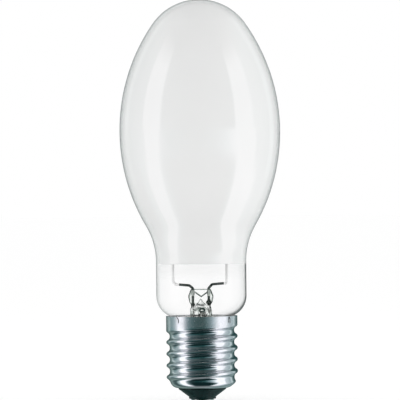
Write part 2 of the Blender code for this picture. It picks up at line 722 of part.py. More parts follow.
def make_arc_tube(centre):
    outline = [
        (arc_tube_bore, -arc_half),
        (ARC_TUBE_RADIUS, -arc_half),
        (ARC_TUBE_RADIUS, arc_half),
        (arc_tube_bore, arc_half),
    ]
    turned("arc_tube", outline, ALUMINA, centre, SMALL_SEGMENTS)


def make_arc_tube_end(end, out, centre):
    """Plug, niobium tube and electrode of one end, `out` being 1 for the upper one."""
    bore = NIOBIUM_RADIUS + GAP
    plug = [
        (bore, plug_end),
        (arc_tube_bore - GAP, plug_end),
        (arc_tube_bore - GAP, arc_half + GAP),
        (ARC_TUBE_RADIUS, arc_half + GAP),
        (ARC_TUBE_RADIUS, arc_half + GAP + PLUG_FLANGE),
        (bore, arc_half + GAP + PLUG_FLANGE),
    ]
    tube_bore = NIOBIUM_RADIUS - NIOBIUM_WALL
    tube = [
        (tube_bore, plug_end),
        (NIOBIUM_RADIUS, plug_end),
        (NIOBIUM_RADIUS, niobium_end),
        (tube_bore, niobium_end),
    ]
    tip = plug_end - ELECTRODE_REACH
    coil = []
    for turn in range(COIL_TURNS):
        foot = tip + (turn + 1) * COIL_PITCH
        coil += [(shank_radius, foot), (shank_radius + COIL_DEPTH, foot + COIL_PITCH / 2)]
    coil_end = tip + (COIL_TURNS + 1) * COIL_PITCH
    electrode = [(0.0, tip), (shank_radius, tip)] + coil + [(shank_radius, coil_end)]
    electrode += [(shank_radius, plug_end + ELECTRODE_GRIP), (0.0, plug_end + ELECTRODE_GRIP)]
    for name, outline, finish in (
        ("end_plug_", plug, ALUMINA),
        ("niobium_tube_", tube, NIOBIUM),
        ("electrode_", electrode, TUNGSTEN),
    ):
        mirrored = [(radius, out * height) for radius, height in outline]
        turned(name + end, mirrored, finish, centre, SMALL_SEGMENTS)


def make_amalgam_bead(centre):
    """The cold charge, lying on the lower plug between the electrode and the wall."""
    radius = (arc_tube_bore - shank_radius) / 2 - GAP
    place = (shank_radius + arc_tube_bore) / 2
    outline = arc((0.0, 0.0), radius, -math.pi / 2, math.pi / 2, 6)
    bead = turned("amalgam_bead", outline, AMALGAM, centre, 10)
    bead.location = Vector((place, 0.0, radius + GAP - plug_end)) * MM


def make_ignition_wire(centre):
    """A loop round each end of the arc tube, joined by a straight along its left side."""
    reach = ARC_TUBE_RADIUS + GAP + IGNITION_RADIUS
    level = arc_half - IGNITION_FROM_END
    steps = 10
    loop = [math.pi - math.radians(IGNITION_LOOP) * (1 - step / steps) for step in range(steps + 1)]
    lower = [(reach * math.cos(a), reach * math.sin(a), -level) for a in loop]
    upper = [(x, y, level) for x, y, _ in reversed(lower)]
    wire("ignition_wire", lower + upper, IGNITION_RADIUS, TUNGSTEN, centre, 1)


# Wires inside the cap

def make_cap_wires(lamp):
    """Thin wires from the leads to the centre contact and to the skirt."""
    solder_top = contact_floor + CONTACT_THICKNESS
    contact_route = [
        (-lead_offset, 0.0, cap_wire_top),
        (-lead_offset, 0.0, contact_wire_turn + lead_offset / 2),
        (0.0, 0.0, contact_wire_turn),
        (0.0, 0.0, solder_top + GAP),
    ]
    contact_points = rounded(contact_route, [CAP_WIRE_BEND] * 2)
    wire("contact_lead", contact_points, CAP_WIRE_RADIUS, COPPER, lamp, 1)

    angle = math.radians(SIDE_WIRE_ANGLE)
    below_stem = stem_foot - CAP_WIRE_BELOW_STEM
    beside_seal = (seal_radius + thread_bore) / 2
    in_skirt = (fillet_centre - (NECK_FILLET - GAP) * math.cos(math.radians(CEMENT_ANGLE)) + skirt_bore) / 2
    over_notch = CAP_HEIGHT - NOTCH_DEPTH + GAP + CAP_WIRE_RADIUS
    outside = THREAD_CREST_RADIUS + GAP + CAP_WIRE_RADIUS
    climb = [
        (beside_seal, below_stem),
        (beside_seal, fillet_height),
        (in_skirt, fillet_height + NECK_FILLET / 3),
        (in_skirt, over_notch),
        (outside, over_notch),
        (outside, over_notch - SIDE_WIRE_LENGTH),
    ]
    side_route = [(lead_offset, 0.0, cap_wire_top), (lead_offset, 0.0, below_stem)]
    side_route += [(radius * math.cos(angle), radius * math.sin(angle), height) for radius, height in climb]
    side_points = rounded(side_route, [CAP_WIRE_BEND] * 3 + [CAP_WIRE_BEND / 2] * 3)
    wire("shell_lead", side_points, CAP_WIRE_RADIUS, COPPER, lamp, 1)


def empty(name, height, parent=None):
    marker = bpy.data.objects.new(name, None)
    marker.parent = parent
    marker.location.z = height * MM
    bpy.context.scene.collection.objects.link(marker)
    return marker


def main():
    for item in list(bpy.data.objects):
        bpy.data.objects.remove(item)
    lamp = empty("lamp", 0.0)
    make_cap_shell(lamp)
    make_cap_insulator(lamp)
    make_contact(lamp)
    make_basing_cement(lamp)
    make_outer_bulb(lamp)
    make_diffuser_coating(lamp)
    make_glass_stem(lamp)
    make_exhaust_tube(lamp)
    make_leads_and_rods(lamp)
    make_strap("strap_upper", left_rod, widest_height + strap_place, lamp)
    make_strap("strap_lower", right_rod, widest_height - strap_place, lamp)
    make_dome_spring("dome_spring_left", -1.0, lamp)
    make_dome_spring("dome_spring_right", 1.0, lamp)
    make_getter("getter_left", left_rod, lamp)
    make_getter("getter_right", right_rod, lamp)
    arc_centre = empty("arc_tube_centre", widest_height, lamp)
    make_arc_tube(arc_centre)
    make_arc_tube_end("upper", 1.0, arc_centre)
    make_arc_tube_end("lower", -1.0, arc_centre)
    make_amalgam_bead(arc_centre)
    make_ignition_wire(arc_centre)
    make_cap_wires(lamp)


main()
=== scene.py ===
# High pressure sodium lamp: fine meshes, finishes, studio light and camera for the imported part.
# +Z runs up through the dome and the camera looks along +Y. The lamp's sizes are in millimetres. The
# studio's and the camera's distances are in metres.

from math import acos, atan2, ceil, copysign, cos, exp, floor, pi, radians, sin, sqrt, tan

import bmesh
import bpy
from mathutils import Matrix, Vector


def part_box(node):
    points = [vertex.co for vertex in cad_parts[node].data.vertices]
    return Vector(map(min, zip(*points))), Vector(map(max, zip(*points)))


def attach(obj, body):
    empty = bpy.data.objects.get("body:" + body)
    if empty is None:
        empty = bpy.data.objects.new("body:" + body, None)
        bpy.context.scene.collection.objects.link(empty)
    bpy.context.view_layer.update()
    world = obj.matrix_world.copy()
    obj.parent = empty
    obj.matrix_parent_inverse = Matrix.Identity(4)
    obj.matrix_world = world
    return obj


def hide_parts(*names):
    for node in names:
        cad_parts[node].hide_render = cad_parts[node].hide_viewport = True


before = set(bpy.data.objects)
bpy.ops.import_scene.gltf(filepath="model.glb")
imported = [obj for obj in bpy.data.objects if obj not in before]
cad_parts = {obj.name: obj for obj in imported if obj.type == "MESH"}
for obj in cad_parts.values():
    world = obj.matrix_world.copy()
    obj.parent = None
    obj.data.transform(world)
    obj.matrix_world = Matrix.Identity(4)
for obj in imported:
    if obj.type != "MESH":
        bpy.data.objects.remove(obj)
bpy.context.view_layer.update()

MM = 0.001
TURN = 2 * pi
ROOT = "root"
WHITE = (1.0, 1.0, 1.0, 1.0)

# Mesh fineness
SAME_POINT = 0.0001
ROUND = 144  # sides of a large round piece
STEM_SIDES = 96
HOLE_SIDES = 32
CONTACT_SIDES = 96
SOLDER_SIDES = 64
ROWS_PER_PITCH = 28
INNER_ROWS_PER_PITCH = 6
CEILING_STEPS = 8
PRESS_STEPS = 36
PRESS_EDGE_STEPS = 7
LEAD_ROWS = 32

# Sizes shared with the part: the clearances and the screw cap
GAP = 0.3
CAP_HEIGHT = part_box("cap_shell")[1].z / MM
SHELL_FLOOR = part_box("cap_shell")[0].z / MM
SKIRT_HEIGHT = 7.9
CREST_RADIUS = 19.45
THREAD_DEPTH = 1.85
THREAD_PITCH = 6.35
CREST_ROUND = 1.2
THREAD_FLANK = 60.0  # degrees between a flank and the lamp's axis
RUN_OUT = 1.6
RUN_IN = 4.8
START_ABOVE_FLOOR = 4.9
SHELL_WALL = 0.6
SHELL_CORNER = 4.4
SHELL_LEDGE = 1.6
NOTCH_DEPTH = 1.2  # the rim's notch holds the side wire
NOTCH_ANGLE = -40.0

# Sizes shared with the part: insulator, centre contact and solder button
CENTRE_HOLE = 1.2
FOOT_RADIUS = 7.35
FOOT_HEIGHT = 1.1
CONE_LIP = 1.4
SOLDER_SHANK = 0.9
SOLDER_BUTTON = 0.5

# Finer forms of these, by the scene alone
ROOT_ROUND = 2.2
SKIRT_FIRST_ROW = 1.0  # rows of faces next to the skirt's lower and upper end
SKIRT_LAST_ROW = 0.4
NOTCH_WIDTH = 0.5
FOOT_STEP = ((0.0, -0.1), (0.12, 0.05))  # outwards and up, where the cone meets its foot
LOWER_EDGE = 0.25
CONE_EDGE = 0.2
CONTACT_EDGE = 0.1
SOLDER_ROUND = ((0.6, 0.0), (0.35, 0.06), (0.12, 0.2))  # in from its edge, up from its face

# Sizes shared with the part: the bulb and its coating
GLASS_WALL = 1.2
COATING_THICKNESS = 0.4
COATING_ABOVE_CAP = 18.9
BULB_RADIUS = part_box("outer_bulb")[1].x / MM
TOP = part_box("outer_bulb")[1].z / MM
TIP_RADIUS = 30.8
WIDEST_ABOVE_CAP = 100.6
NECK_RADIUS = 24.55
SHOULDER_RADIUS = 39.0
NECK_TURN_RADIUS = 11.8
NECK_FILLET = 4.0
FILLET_BELOW_RIM = 3.3
SEAL_BELOW_RIM = 10.5
CEMENT_THICKNESS = 0.8

# Sizes shared with the part: the glass stem
STEM_TUBE_RADIUS = 6.0
STEM_WALL = 1.2
FLARE_RADIUS = 7.0
STEM_HEIGHT = 26.6
PRESS_THICKNESS = 4.8
PRESS_HEIGHT = 11.5
PRESS_BLEND = 4.5
PRESS_EDGE = 0.9
HOLLOW_INTO_PRESS = 1.3
EXHAUST_HOLE_RADIUS = 1.3
EXHAUST_HOLE_BELOW_CEILING = 1.2

# Finer forms of the stem, by the scene alone
PRESS_SQUARENESS = 2.4  # 2 is round
PRESS_SIDE = ((0.0, 5.95), (2.4, 5.3), (5.0, 6.5), (7.6, 6.85), (10.0, 6.1), (11.5, 5.0))
PRESS_ASIDE = -0.35  # how far the drawn stem leans off the lamp's axis
EXHAUST_HOLE_FLATNESS = 0.6
EXHAUST_HOLE_ASIDE = 0.3
# radius of the ring of painted shade round the exhaust hole
SHADE_RING_WIRE = 0.46

# Sizes shared with the part: leads and frame rods
PRESS_REACH = 6.5
LEAD_RADIUS = 0.7
LEAD_TO_PRESS_EDGE = 2.2
LEAD_IN_PRESS = 9.2
LEAD_STRAIGHT = 0.4
LEFT_LEAD_RISE = 2.5
RIGHT_LEAD_RISE = 3.0
LEAD_SLOPE = 0.5
LEAD_RUN = 1.9
LEAD_BEND = 1.6
ROD_RADIUS = 0.7
LEFT_WELD_TO_ROD = 3.1
RIGHT_WELD_TO_ROD = 1.6
ROD_TOP_BEND = 4.0

# Detail of the wires
BEND_STEP = 6.0  # degrees of bend for each straight of a wire
WIRE_SIDES = 24
WIRE_EDGE = 0.12
# Swellings of the leads in the press: height above the foot, rise and half length
LEFT_KNOTS = ((0.4, 0.5, 0.7), (7.3, 0.35, 1.6))
RIGHT_KNOTS = ((1.8, 0.9, 1.1), (7.3, 0.35, 1.6))
SEAL_BAND = (5.6, 9.0)  # the bright sealing metal of the leads, above the foot

# Places that follow from the sizes
root_radius = CREST_RADIUS - THREAD_DEPTH
thread_base = SHELL_FLOOR + SHELL_CORNER
thread_top = CAP_HEIGHT - SKIRT_HEIGHT
skirt_base = thread_top + RUN_OUT + THREAD_PITCH / 2
crest_height = thread_top - THREAD_PITCH / 2
shell_flat_radius = root_radius - SHELL_CORNER
mouth_radius = shell_flat_radius - SHELL_LEDGE

widest_height = CAP_HEIGHT + WIDEST_ABOVE_CAP
tip_centre = TOP - TIP_RADIUS
tip_rise = tip_centre - widest_height
side_radius = (tip_rise**2 + BULB_RADIUS**2 - TIP_RADIUS**2) / (2 * (BULB_RADIUS - TIP_RADIUS))
side_centre = BULB_RADIUS - side_radius
tip_angle = atan2(tip_rise, -side_centre)
shoulder_reach = side_radius + SHOULDER_RADIUS
shoulder_angle = acos((shoulder_reach - BULB_RADIUS + NECK_RADIUS) / shoulder_reach)
neck_top = widest_height - shoulder_reach * sin(shoulder_angle)
seal_radius = root_radius - SHELL_WALL - 2 * GAP - CEMENT_THICKNESS
fillet_height = CAP_HEIGHT - FILLET_BELOW_RIM
turn_centre = NECK_RADIUS - NECK_TURN_RADIUS
fillet_centre = seal_radius + NECK_FILLET
turn_angle = acos((fillet_centre - turn_centre) / (NECK_TURN_RADIUS + NECK_FILLET))
turn_height = fillet_height + (NECK_TURN_RADIUS + NECK_FILLET) * sin(turn_angle)
seal_height = CAP_HEIGHT - SEAL_BELOW_RIM
coating_height = CAP_HEIGHT + COATING_ABOVE_CAP

stem_foot = seal_height - GAP - STEM_WALL
press_top = stem_foot + STEM_HEIGHT
press_base = press_top - PRESS_HEIGHT
hollow_top = press_base + HOLLOW_INTO_PRESS


# Outlines

def arc(centre, radius, start, end, steps):
    """Points (radius, height) along an arc, with angles from +radius towards +height."""
    angles = [start + (end - start) * step / steps for step in range(steps + 1)]
    return [(centre[0] + radius * cos(a), centre[1] + radius * sin(a)) for a in angles]


def body_outline(inset):
    """The bulb from the top of its neck to its tip, `inset` inside the outer face."""
    shoulder_middle = (NECK_RADIUS + SHOULDER_RADIUS, neck_top)
    shoulder_end = pi - shoulder_angle
    shoulder = arc(shoulder_middle, SHOULDER_RADIUS + inset, pi, shoulder_end, steps=14)
    side_middle = (side_centre, widest_height)
    side = arc(side_middle, side_radius - inset, -shoulder_angle, tip_angle, steps=40)
    tip = arc((0.0, tip_centre), TIP_RADIUS - inset, tip_angle, pi / 2, steps=22)
    return shoulder + side[1:] + tip[1:-1] + [(0.0, TOP - inset)]


def neck_outline(inset):
    """The neck from its sealed end up to where it starts to straighten."""
    fillet_middle = (fillet_centre, fillet_height)
    fillet = arc(fillet_middle, NECK_FILLET + inset, pi, pi - turn_angle, steps=10)
    turn = arc((turn_centre, turn_height), NECK_TURN_RADIUS - inset, -turn_angle, 0.0, steps=16)
    return [(seal_radius - inset, seal_height)] + fillet + turn[1:]


def fade(value):
    """A smooth step from 0 to 1."""
    limited = min(max(value, 0.0), 1.0)
    return limited * limited * (3 - 2 * limited)


def groove_depth(from_crest):
    """Depth of the thread below its crest, by the distance along Z from the crest's middle."""
    slope = radians(THREAD_FLANK)
    crest_drop = CREST_ROUND * (1 - cos(slope))
    root_drop = ROOT_ROUND * (1 - cos(slope))
    flank_start = CREST_ROUND * sin(slope)
    flank_end = flank_start + (THREAD_DEPTH - crest_drop - root_drop) / tan(slope)
    root_start = flank_end + ROOT_ROUND * sin(slope)
    if from_crest < flank_start:
        return CREST_ROUND - sqrt(CREST_ROUND**2 - from_crest**2)
    if from_crest < flank_end:
        return crest_drop + (from_crest - flank_start) * tan(slope)
    from_root = max(root_start - from_crest, 0.0)
    return THREAD_DEPTH - ROOT_ROUND + sqrt(ROOT_ROUND**2 - from_root**2)


def thread_radius(turns, height):
    """Radius of the rolled shell. The thread is right-handed and fades out at both ends."""
    place = (height - crest_height) / THREAD_PITCH - turns
    crest = round(place)
    groove = floor(place) + 0.5
    nearest_crest = crest_height + (crest + turns) * THREAD_PITCH
    nearest_groove = crest_height + (groove + turns) * THREAD_PITCH
    groove_fade = fade((thread_top + RUN_OUT - nearest_groove) / RUN_OUT)
    crest_fade = fade((nearest_crest - SHELL_FLOOR - START_ABOVE_FLOOR) / RUN_IN + 1)
    depth = groove_depth(abs(place - crest) * THREAD_PITCH) * groove_fade
    return root_radius + crest_fade * (THREAD_DEPTH - depth)


# Meshes

def mesh_from(name, bm, sharp=35.0):
    bmesh.ops.remove_doubles(bm, verts=bm.verts, dist=SAME_POINT * MM)
    bmesh.ops.recalc_face_normals(bm, faces=bm.faces)
    mesh = bpy.data.meshes.new(name)
    bm.to_mesh(mesh)
    bm.free()
    mesh.shade_smooth()
    mesh.set_sharp_from_angle(angle=radians(sharp))
    return mesh


def add_object(name, data):
    made = bpy.data.objects.new(name, data)
    bpy.context.scene.collection.objects.link(made)
    return made


def piece(mesh, materials, node):
    """A piece of the scene, named as its mesh, that stands for a node of the part."""
    made = add_object(mesh.name, mesh)
    for material in materials:
        mesh.materials.append(material)
    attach(made, ROOT)
    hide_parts(node)
    return made


def on_ring(radius, angle, height):
    return radius * cos(angle), radius * sin(angle), height


def add_ring(bm, points):
    return [bm.verts.new(Vector(point) * MM) for point in points]


def add_face(bm, corners):
    """A face of the corners that differ, or none where they close up to a line."""
    distinct = list(dict.fromkeys(corners))
    return bm.faces.new(distinct) if len(distinct) > 2 else None


def bridge(bm, lower, upper):
    for index in range(len(lower)):
        after = (index + 1) % len(lower)
        add_face(bm, (lower[index], lower[after], upper[after], upper[index]))


def stacked_mesh(name, rings, sharp, band=None):
    """A closed skin over rings of points, flat at its ends. Faces with their middle in the band of
    heights take the second material."""
    bm = bmesh.new()
    loops = [add_ring(bm, ring) for ring in rings]
    for lower, upper in zip(loops, loops[1:]):
        bridge(bm, lower, upper)
    bm.faces.new(loops[0])
    bm.faces.new(loops[-1])
    if band:
        for face in bm.faces:
            height = face.calc_center_median().z / MM
            face.material_index = 1 if band[0] < height < band[1] else 0
    return mesh_from(name, bm, sharp)


def turned_mesh(name, outline, segments=ROUND, inner_from=None):
    """An outline of (radius, height) points spun about Z: a loop, or one with both ends on Z.
    Faces from the outline's point `inner_from` on take the second material."""
    bm = bmesh.new()
    columns = []
    for side in range(segments):
        angle = TURN * side / segments
        columns.append(add_ring(bm, [on_ring(radius, angle, height) for radius, height in outline]))
    for column in columns[1:]:
        for index, (radius, _) in enumerate(outline):
            if radius == 0.0:
                bm.verts.remove(column[index])
                column[index] = columns[0][index]
    ends_on_axis = outline[0][0] == 0.0 and outline[-1][0] == 0.0
    strips = len(outline) - 1 if ends_on_axis else len(outline)
    for side in range(segments):
        here, there = columns[side], columns[(side + 1) % segments]
        for index in range(strips):
            after = (index + 1) % len(outline)
            face = add_face(bm, (here[index], there[index], there[after], here[after]))
            if face is not None and inner_from is not None and index >= inner_from:
                face.material_index = 1
    return mesh_from(name, bm)


def cut_with(target, cutter):
    """Takes the cutter's space out of the target for good."""
    modifier = target.modifiers.new("cut", "BOOLEAN")
    modifier.operation = "DIFFERENCE"
    modifier.solver = "EXACT"
    modifier.material_mode = "TRANSFER"
    modifier.object = cutter
    view = bpy.context.evaluated_depsgraph_get()
    cut = bpy.data.meshes.new_from_object(target.evaluated_get(view))
    target.modifiers.clear()
    target.data = cut
    bpy.data.objects.remove(cutter)


# Materials: node helpers

def new_material(name):
    """An empty node material and its node tree."""
    material = bpy.data.materials.new(name)
    material.use_nodes = True
    tree = material.node_tree
    tree.nodes.clear()
    return material, tree


def feed(tree, node, inputs):
    """Sets inputs of a node by name or number. A socket is linked, and anything else is a value."""
    for key, value in inputs.items():
        if isinstance(value, bpy.types.NodeSocket):
            tree.links.new(value, node.inputs[key])
        else:
            node.inputs[key].default_value = value
    return node


def add_node(tree, kind, inputs):
    """A node with its inputs set. Returns its outputs."""
    return feed(tree, tree.nodes.new(kind), inputs).outputs


def math_node(tree, operation, *values):
    node = tree.nodes.new("ShaderNodeMath")
    node.operation = operation
    return feed(tree, node, dict(enumerate(values))).outputs[0]


def map_range(tree, value, start, end, at_start=0.0, at_end=1.0):
    """Follows a value from `start` to `end`, both in millimetres, and holds beyond them."""
    span = {"From Min": start * MM, "From Max": end * MM, "To Min": at_start, "To Max": at_end}
    return add_node(tree, "ShaderNodeMapRange", {"Value": value, **span})["Result"]


def ramp(tree, factor, stops):
    """A colour ramp with (place, colour) stops, a colour being three numbers or one grey."""
    node = feed(tree, tree.nodes.new("ShaderNodeValToRGB"), {"Fac": factor})
    elements = node.color_ramp.elements
    while len(elements) < len(stops):
        elements.new(0.5)
    for element, (place, colour) in zip(elements, stops):
        element.position = place
        element.color = (*colour, 1.0) if isinstance(colour, tuple) else (*[colour] * 3, 1.0)
    return node.outputs["Color"]


def blend(tree, factor, first, second, blend_type="MIX"):
    """A Mix node for colours. Each colour is a socket or four numbers."""
    node = tree.nodes.new("ShaderNodeMix")
    node.data_type = "RGBA"
    node.blend_type = blend_type
    return feed(tree, node, {"Factor": factor, "A": first, "B": second}).outputs["Result"]


def noise(tree, vector, scale, detail, roughness=0.5):
    inputs = {"Vector": vector, "Scale": scale, "Detail": detail, "Roughness": roughness}
    return add_node(tree, "ShaderNodeTexNoise", inputs)["Fac"]


def object_place(tree):
    return tree.nodes.new("ShaderNodeTexCoord").outputs["Object"]


def along_axes(tree, vector):
    """The X, Y and Z of a vector."""
    return add_node(tree, "ShaderNodeSeparateXYZ", {0: vector})


def stretched(tree, vector, scale):
    return add_node(tree, "ShaderNodeMapping", {"Vector": vector, "Scale": scale})["Vector"]


def bump(tree, height, depth):
    """A normal for a relief of a depth in millimetres."""
    inputs = {"Strength": 1.0, "Distance": depth * MM, "Height": height}
    return add_node(tree, "ShaderNodeBump", inputs)["Normal"]


def facing(tree, normal=None):
    """0 where the surface faces the ray and 1 at its edge."""
    inputs = {"Blend": 0.5}
    if normal is not None:
        inputs["Normal"] = normal
    return add_node(tree, "ShaderNodeLayerWeight", inputs)["Facing"]


def add_shader(tree, kind, inputs):
    return add_node(tree, kind, inputs)[0]


def mix_shaders(tree, factor, first, second):
    return add_shader(tree, "ShaderNodeMixShader", {"Fac": factor, 1: first, 2: second})


def show(tree, shader):
    """Makes a shader the material's surface."""
    add_node(tree, "ShaderNodeOutputMaterial", {"Surface": shader})


def show_glass(tree, shader, shadow_tint):
    """Makes a shader the material's surface, and lets the lamps' light through in a tint."""
    lit = add_shader(tree, "ShaderNodeBsdfTransparent", {"Color": shadow_tint})
    shadow_ray = tree.nodes.new("ShaderNodeLightPath").outputs["Is Shadow Ray"]
    show(tree, mix_shaders(tree, shadow_ray, shader, lit))


# Materials: glass

# What passes through the bulb's wall, by how steeply it is seen: 0 head on, 1 at its edge
EDGE_TINT = (
    (0.0, 0.998), (0.2, 0.99), (0.43, 0.985), (0.6, 0.98),
    (0.67, 0.965), (0.71, 0.95), (0.756, 0.94), (0.813, 0.935),
    (0.883, 0.875), (0.94, 0.68), (1.0, 0.42),
)
# Painted shade on the neck's edge, uneven from side to side: how much more its edge darkens at its
# -X and its +X side, and the change on top of that down at its turn
NECK_SIDE_SHADE = (0.05, 0.17)
TURN_SIDE_SHADE = (-0.09, 0.08)
SIDE_TO_SIDE = 15.0
TURN_TOP, TURN_LOW = 12.0, 4.0  # above the cap
# Where the powder that backs the glass turns dense, above the coating's lower edge
DENSE_FROM, DENSE_TO = 8.6, 10.6
MIRROR_POWER = 5.0  # how steeply the mirror image gains towards the edge
EDGE_MIRROR = 0.5
BULB_GLOSS = 0.012


def thin_glass(name, least_mirror, most_mirror, tint):
    """Clear glass of a wall too thin to bend what is seen through it. It mirrors more above the
    coating's lower edge, where the powder backs it, and lamps shine through it undimmed. Painted
    shade makes the neck's edge darker at its +X side than at its -X side."""
    material, tree = new_material(name)
    place = object_place(tree)
    x, _, z = along_axes(tree, place)
    edge = facing(tree)
    cover = map_range(tree, z, coating_height + DENSE_FROM, coating_height + DENSE_TO)
    head_on = math_node(tree, "MULTIPLY_ADD", cover, most_mirror - least_mirror, least_mirror)
    slope = math_node(tree, "POWER", edge, MIRROR_POWER)
    mirror = math_node(tree, "MULTIPLY_ADD", slope, EDGE_MIRROR if tint else 0.0, head_on)
    colour = WHITE
    if tint:
        bare = math_node(tree, "SUBTRACT", 1.0, cover)
        low = map_range(tree, z, CAP_HEIGHT + TURN_TOP, CAP_HEIGHT + TURN_LOW)
        # Painted shade: the edge darkens more towards +X on the bare neck, and changes again down at
        # its turn
        edge_and_side_shade = edge
        for share, (left, right) in ((bare, NECK_SIDE_SHADE), (low, TURN_SIDE_SHADE)):
            aside = map_range(tree, x, -SIDE_TO_SIDE, SIDE_TO_SIDE, left, right)
            edge_and_side_shade = math_node(tree, "MULTIPLY_ADD", share, aside, edge_and_side_shade)
        colour = ramp(tree, edge_and_side_shade, tint)
    clear = add_shader(tree, "ShaderNodeBsdfTransparent", {"Color": colour})
    wave = noise(tree, stretched(tree, place, (1.0, 1.0, 0.35)), scale=55.0, detail=1.0)
    inputs = {"Roughness": BULB_GLOSS, "Color": WHITE, "Normal": bump(tree, wave, depth=0.03)}
    gloss = add_shader(tree, "ShaderNodeBsdfGlossy", inputs)
    show_glass(tree, mix_shaders(tree, mirror, clear, gloss), WHITE)
    return material


# What passes through the stem's glass, by how steeply it is seen
PRESS_TINT = (
    (0.0, (0.99, 0.995, 0.992)),
    (0.12, (0.95, 0.965, 0.955)),
    (0.25, (0.46, 0.5, 0.48)),
    (0.44, (0.2, 0.24, 0.22)),
    (1.0, (0.08, 0.10, 0.095)),
)
TUBE_TINT = (
    (0.0, (0.99, 0.995, 0.992)),
    (0.4, (0.95, 0.965, 0.955)),
    (0.7, (0.7, 0.74, 0.72)),
    (0.9, (0.4, 0.44, 0.42)),
    (1.0, (0.2, 0.23, 0.22)),
)
# Dark patches at random in the tube, and where the press's tint takes over, above the press's base
DARK_PATCH_TINT = ((0.56, 1.0), (0.62, 0.45))
PRESS_TINT_FROM, PRESS_TINT_TO = 2.5, 6.0
# The press's folds: middle, height, rise per mm to the sides, reach and depth
PRESS_FOLDS = ((-0.1, 57.3, 0.72, 3.3, 1.0), (-0.4, 55.9, -1.35, 2.4, 0.5))
FOLD_WIDTH = 0.42
FOLD_RELIEF = 1.2
# Painted shade along the folds: how strongly it darkens the tint, and the colour it darkens with
FOLD_SHADE = 0.9
FOLD_SHADE_COLOUR = (0.3, 0.34, 0.33, 1.0)
PRESS_BENDING, TUBE_BENDING = 1.12, 1.52  # indices of refraction
STEM_SHADOW = (0.9, 0.92, 0.91, 1.0)


def fold_lines(tree, place):
    """1 along the folds of the press and 0 away from them."""
    x, _, z = along_axes(tree, place)
    total = 0.0
    for middle, height, rise, reach, depth in PRESS_FOLDS:
        aside = math_node(tree, "ABSOLUTE", math_node(tree, "SUBTRACT", x, middle * MM))
        line = math_node(tree, "MULTIPLY_ADD", aside, rise, height * MM)
        off = math_node(tree, "ABSOLUTE", math_node(tree, "SUBTRACT", z, line))
        near = map_range(tree, off, FOLD_WIDTH, 0.0, 0.0, depth)
        within = math_node(tree, "LESS_THAN", aside, reach * MM)
        total = math_node(tree, "MULTIPLY_ADD", near, within, total)
    return total


def stem_material(name, pinched):
    """Glass that bends what is seen through it, with the fine streaks of drawn glass. Pinched glass
    has folds, with painted shade along them, and dark edges in its press, and turns into the clearer
    tube below."""
    material, tree = new_material(name)
    place = object_place(tree)
    relief = noise(tree, stretched(tree, place, (1.0, 1.0, 0.3)), scale=500.0, detail=2.0)
    if pinched:
        bending = PRESS_BENDING
        folds = fold_lines(tree, place)
        relief = math_node(tree, "MULTIPLY_ADD", folds, FOLD_RELIEF, relief)
        normal = bump(tree, relief, depth=0.3)
        edge = facing(tree, normal)
        dark_patches = noise(tree, stretched(tree, place, (1.0, 1.0, 0.6)), scale=620.0, detail=2.0)
        patched = ramp(tree, dark_patches, DARK_PATCH_TINT)
        tube = blend(tree, 1.0, ramp(tree, edge, TUBE_TINT), patched, "MULTIPLY")
        height = along_axes(tree, place)["Z"]
        start, end = press_base + PRESS_TINT_FROM, press_base + PRESS_TINT_TO
        pressed = map_range(tree, height, start, end)
        tint = blend(tree, pressed, tube, ramp(tree, edge, PRESS_TINT))
        # Painted shade: the tint darkens along the folds
        shaded = math_node(tree, "MULTIPLY", folds, FOLD_SHADE)
        tint = blend(tree, shaded, tint, FOLD_SHADE_COLOUR, "MULTIPLY")
    else:
        bending = TUBE_BENDING
        normal = bump(tree, relief, depth=0.12)
        tint = ramp(tree, facing(tree, normal), TUBE_TINT)
    inputs = {"Color": tint, "Roughness": 0.0, "IOR": bending, "Normal": normal}
    show_glass(tree, add_shader(tree, "ShaderNodeBsdfGlass", inputs), STEM_SHADOW)
    return material


# Materials: coating, metals, cast and moulded pieces

# Painted light: by height, the powder's colour is lightest over the lower body, and darker at its
# lower edge and from the middle up to the tip. From the coating's lower edge to the tip
POWDER_PAINTED_LIGHT = (
    (0.0, 0.947), (0.08, 0.948), (0.14, 0.985),
    (0.24, 1.0), (0.33, 0.99), (0.5, 0.962),
    (0.66, 0.947), (0.85, 0.952), (1.0, 0.957),
)
POWDER_CLOUDS = ((0.3, (0.912, 0.914, 0.911)), (0.7, (0.927, 0.928, 0.923)))
# How the powder covers the glass over its lowest stretch, and how far its edge wanders
POWDER_COVER = ((0.05, 0.0), (0.11, 0.008), (0.33, 0.025), (0.5, 0.04), (0.853, 0.05), (0.859, 1.0))
COVER_STRETCH = 12.0
EDGE_WANDER = 1.2


def powder_coating():
    """Matt white powder with faint clouds and painted light by height, thinning out in two steps at
    its lower edge.
    """
    material, tree = new_material("white_powder")
    place = object_place(tree)
    clouds = noise(tree, place, scale=28.0, detail=4.0, roughness=0.6)
    grain = noise(tree, place, scale=2600.0, detail=2.0, roughness=0.7)
    height = along_axes(tree, place)["Z"]
    # Painted light by height: lightest over the lower body
    painted_light = ramp(tree, map_range(tree, height, coating_height, TOP), POWDER_PAINTED_LIGHT)
    wander = math_node(tree, "MULTIPLY_ADD", clouds, EDGE_WANDER * MM, height)
    above = map_range(tree, wander, coating_height, coating_height + COVER_STRETCH)
    show(tree, add_shader(tree, "ShaderNodeBsdfPrincipled", {
        "Base Color": blend(tree, 1.0, ramp(tree, clouds, POWDER_CLOUDS), painted_light, "MULTIPLY"),
        "Roughness": 0.85,
        "Specular IOR Level": 0.1,
        "Alpha": ramp(tree, above, POWDER_COVER),
        "Normal": bump(tree, grain, depth=0.05),
    }))
    return material


# The skirt above the thread, which hands have rubbed: added roughness, and metal lost under a film
SKIRT_WEAR = 0.1
SKIRT_FILM = 0.05
WEAR_FADE = 1.0


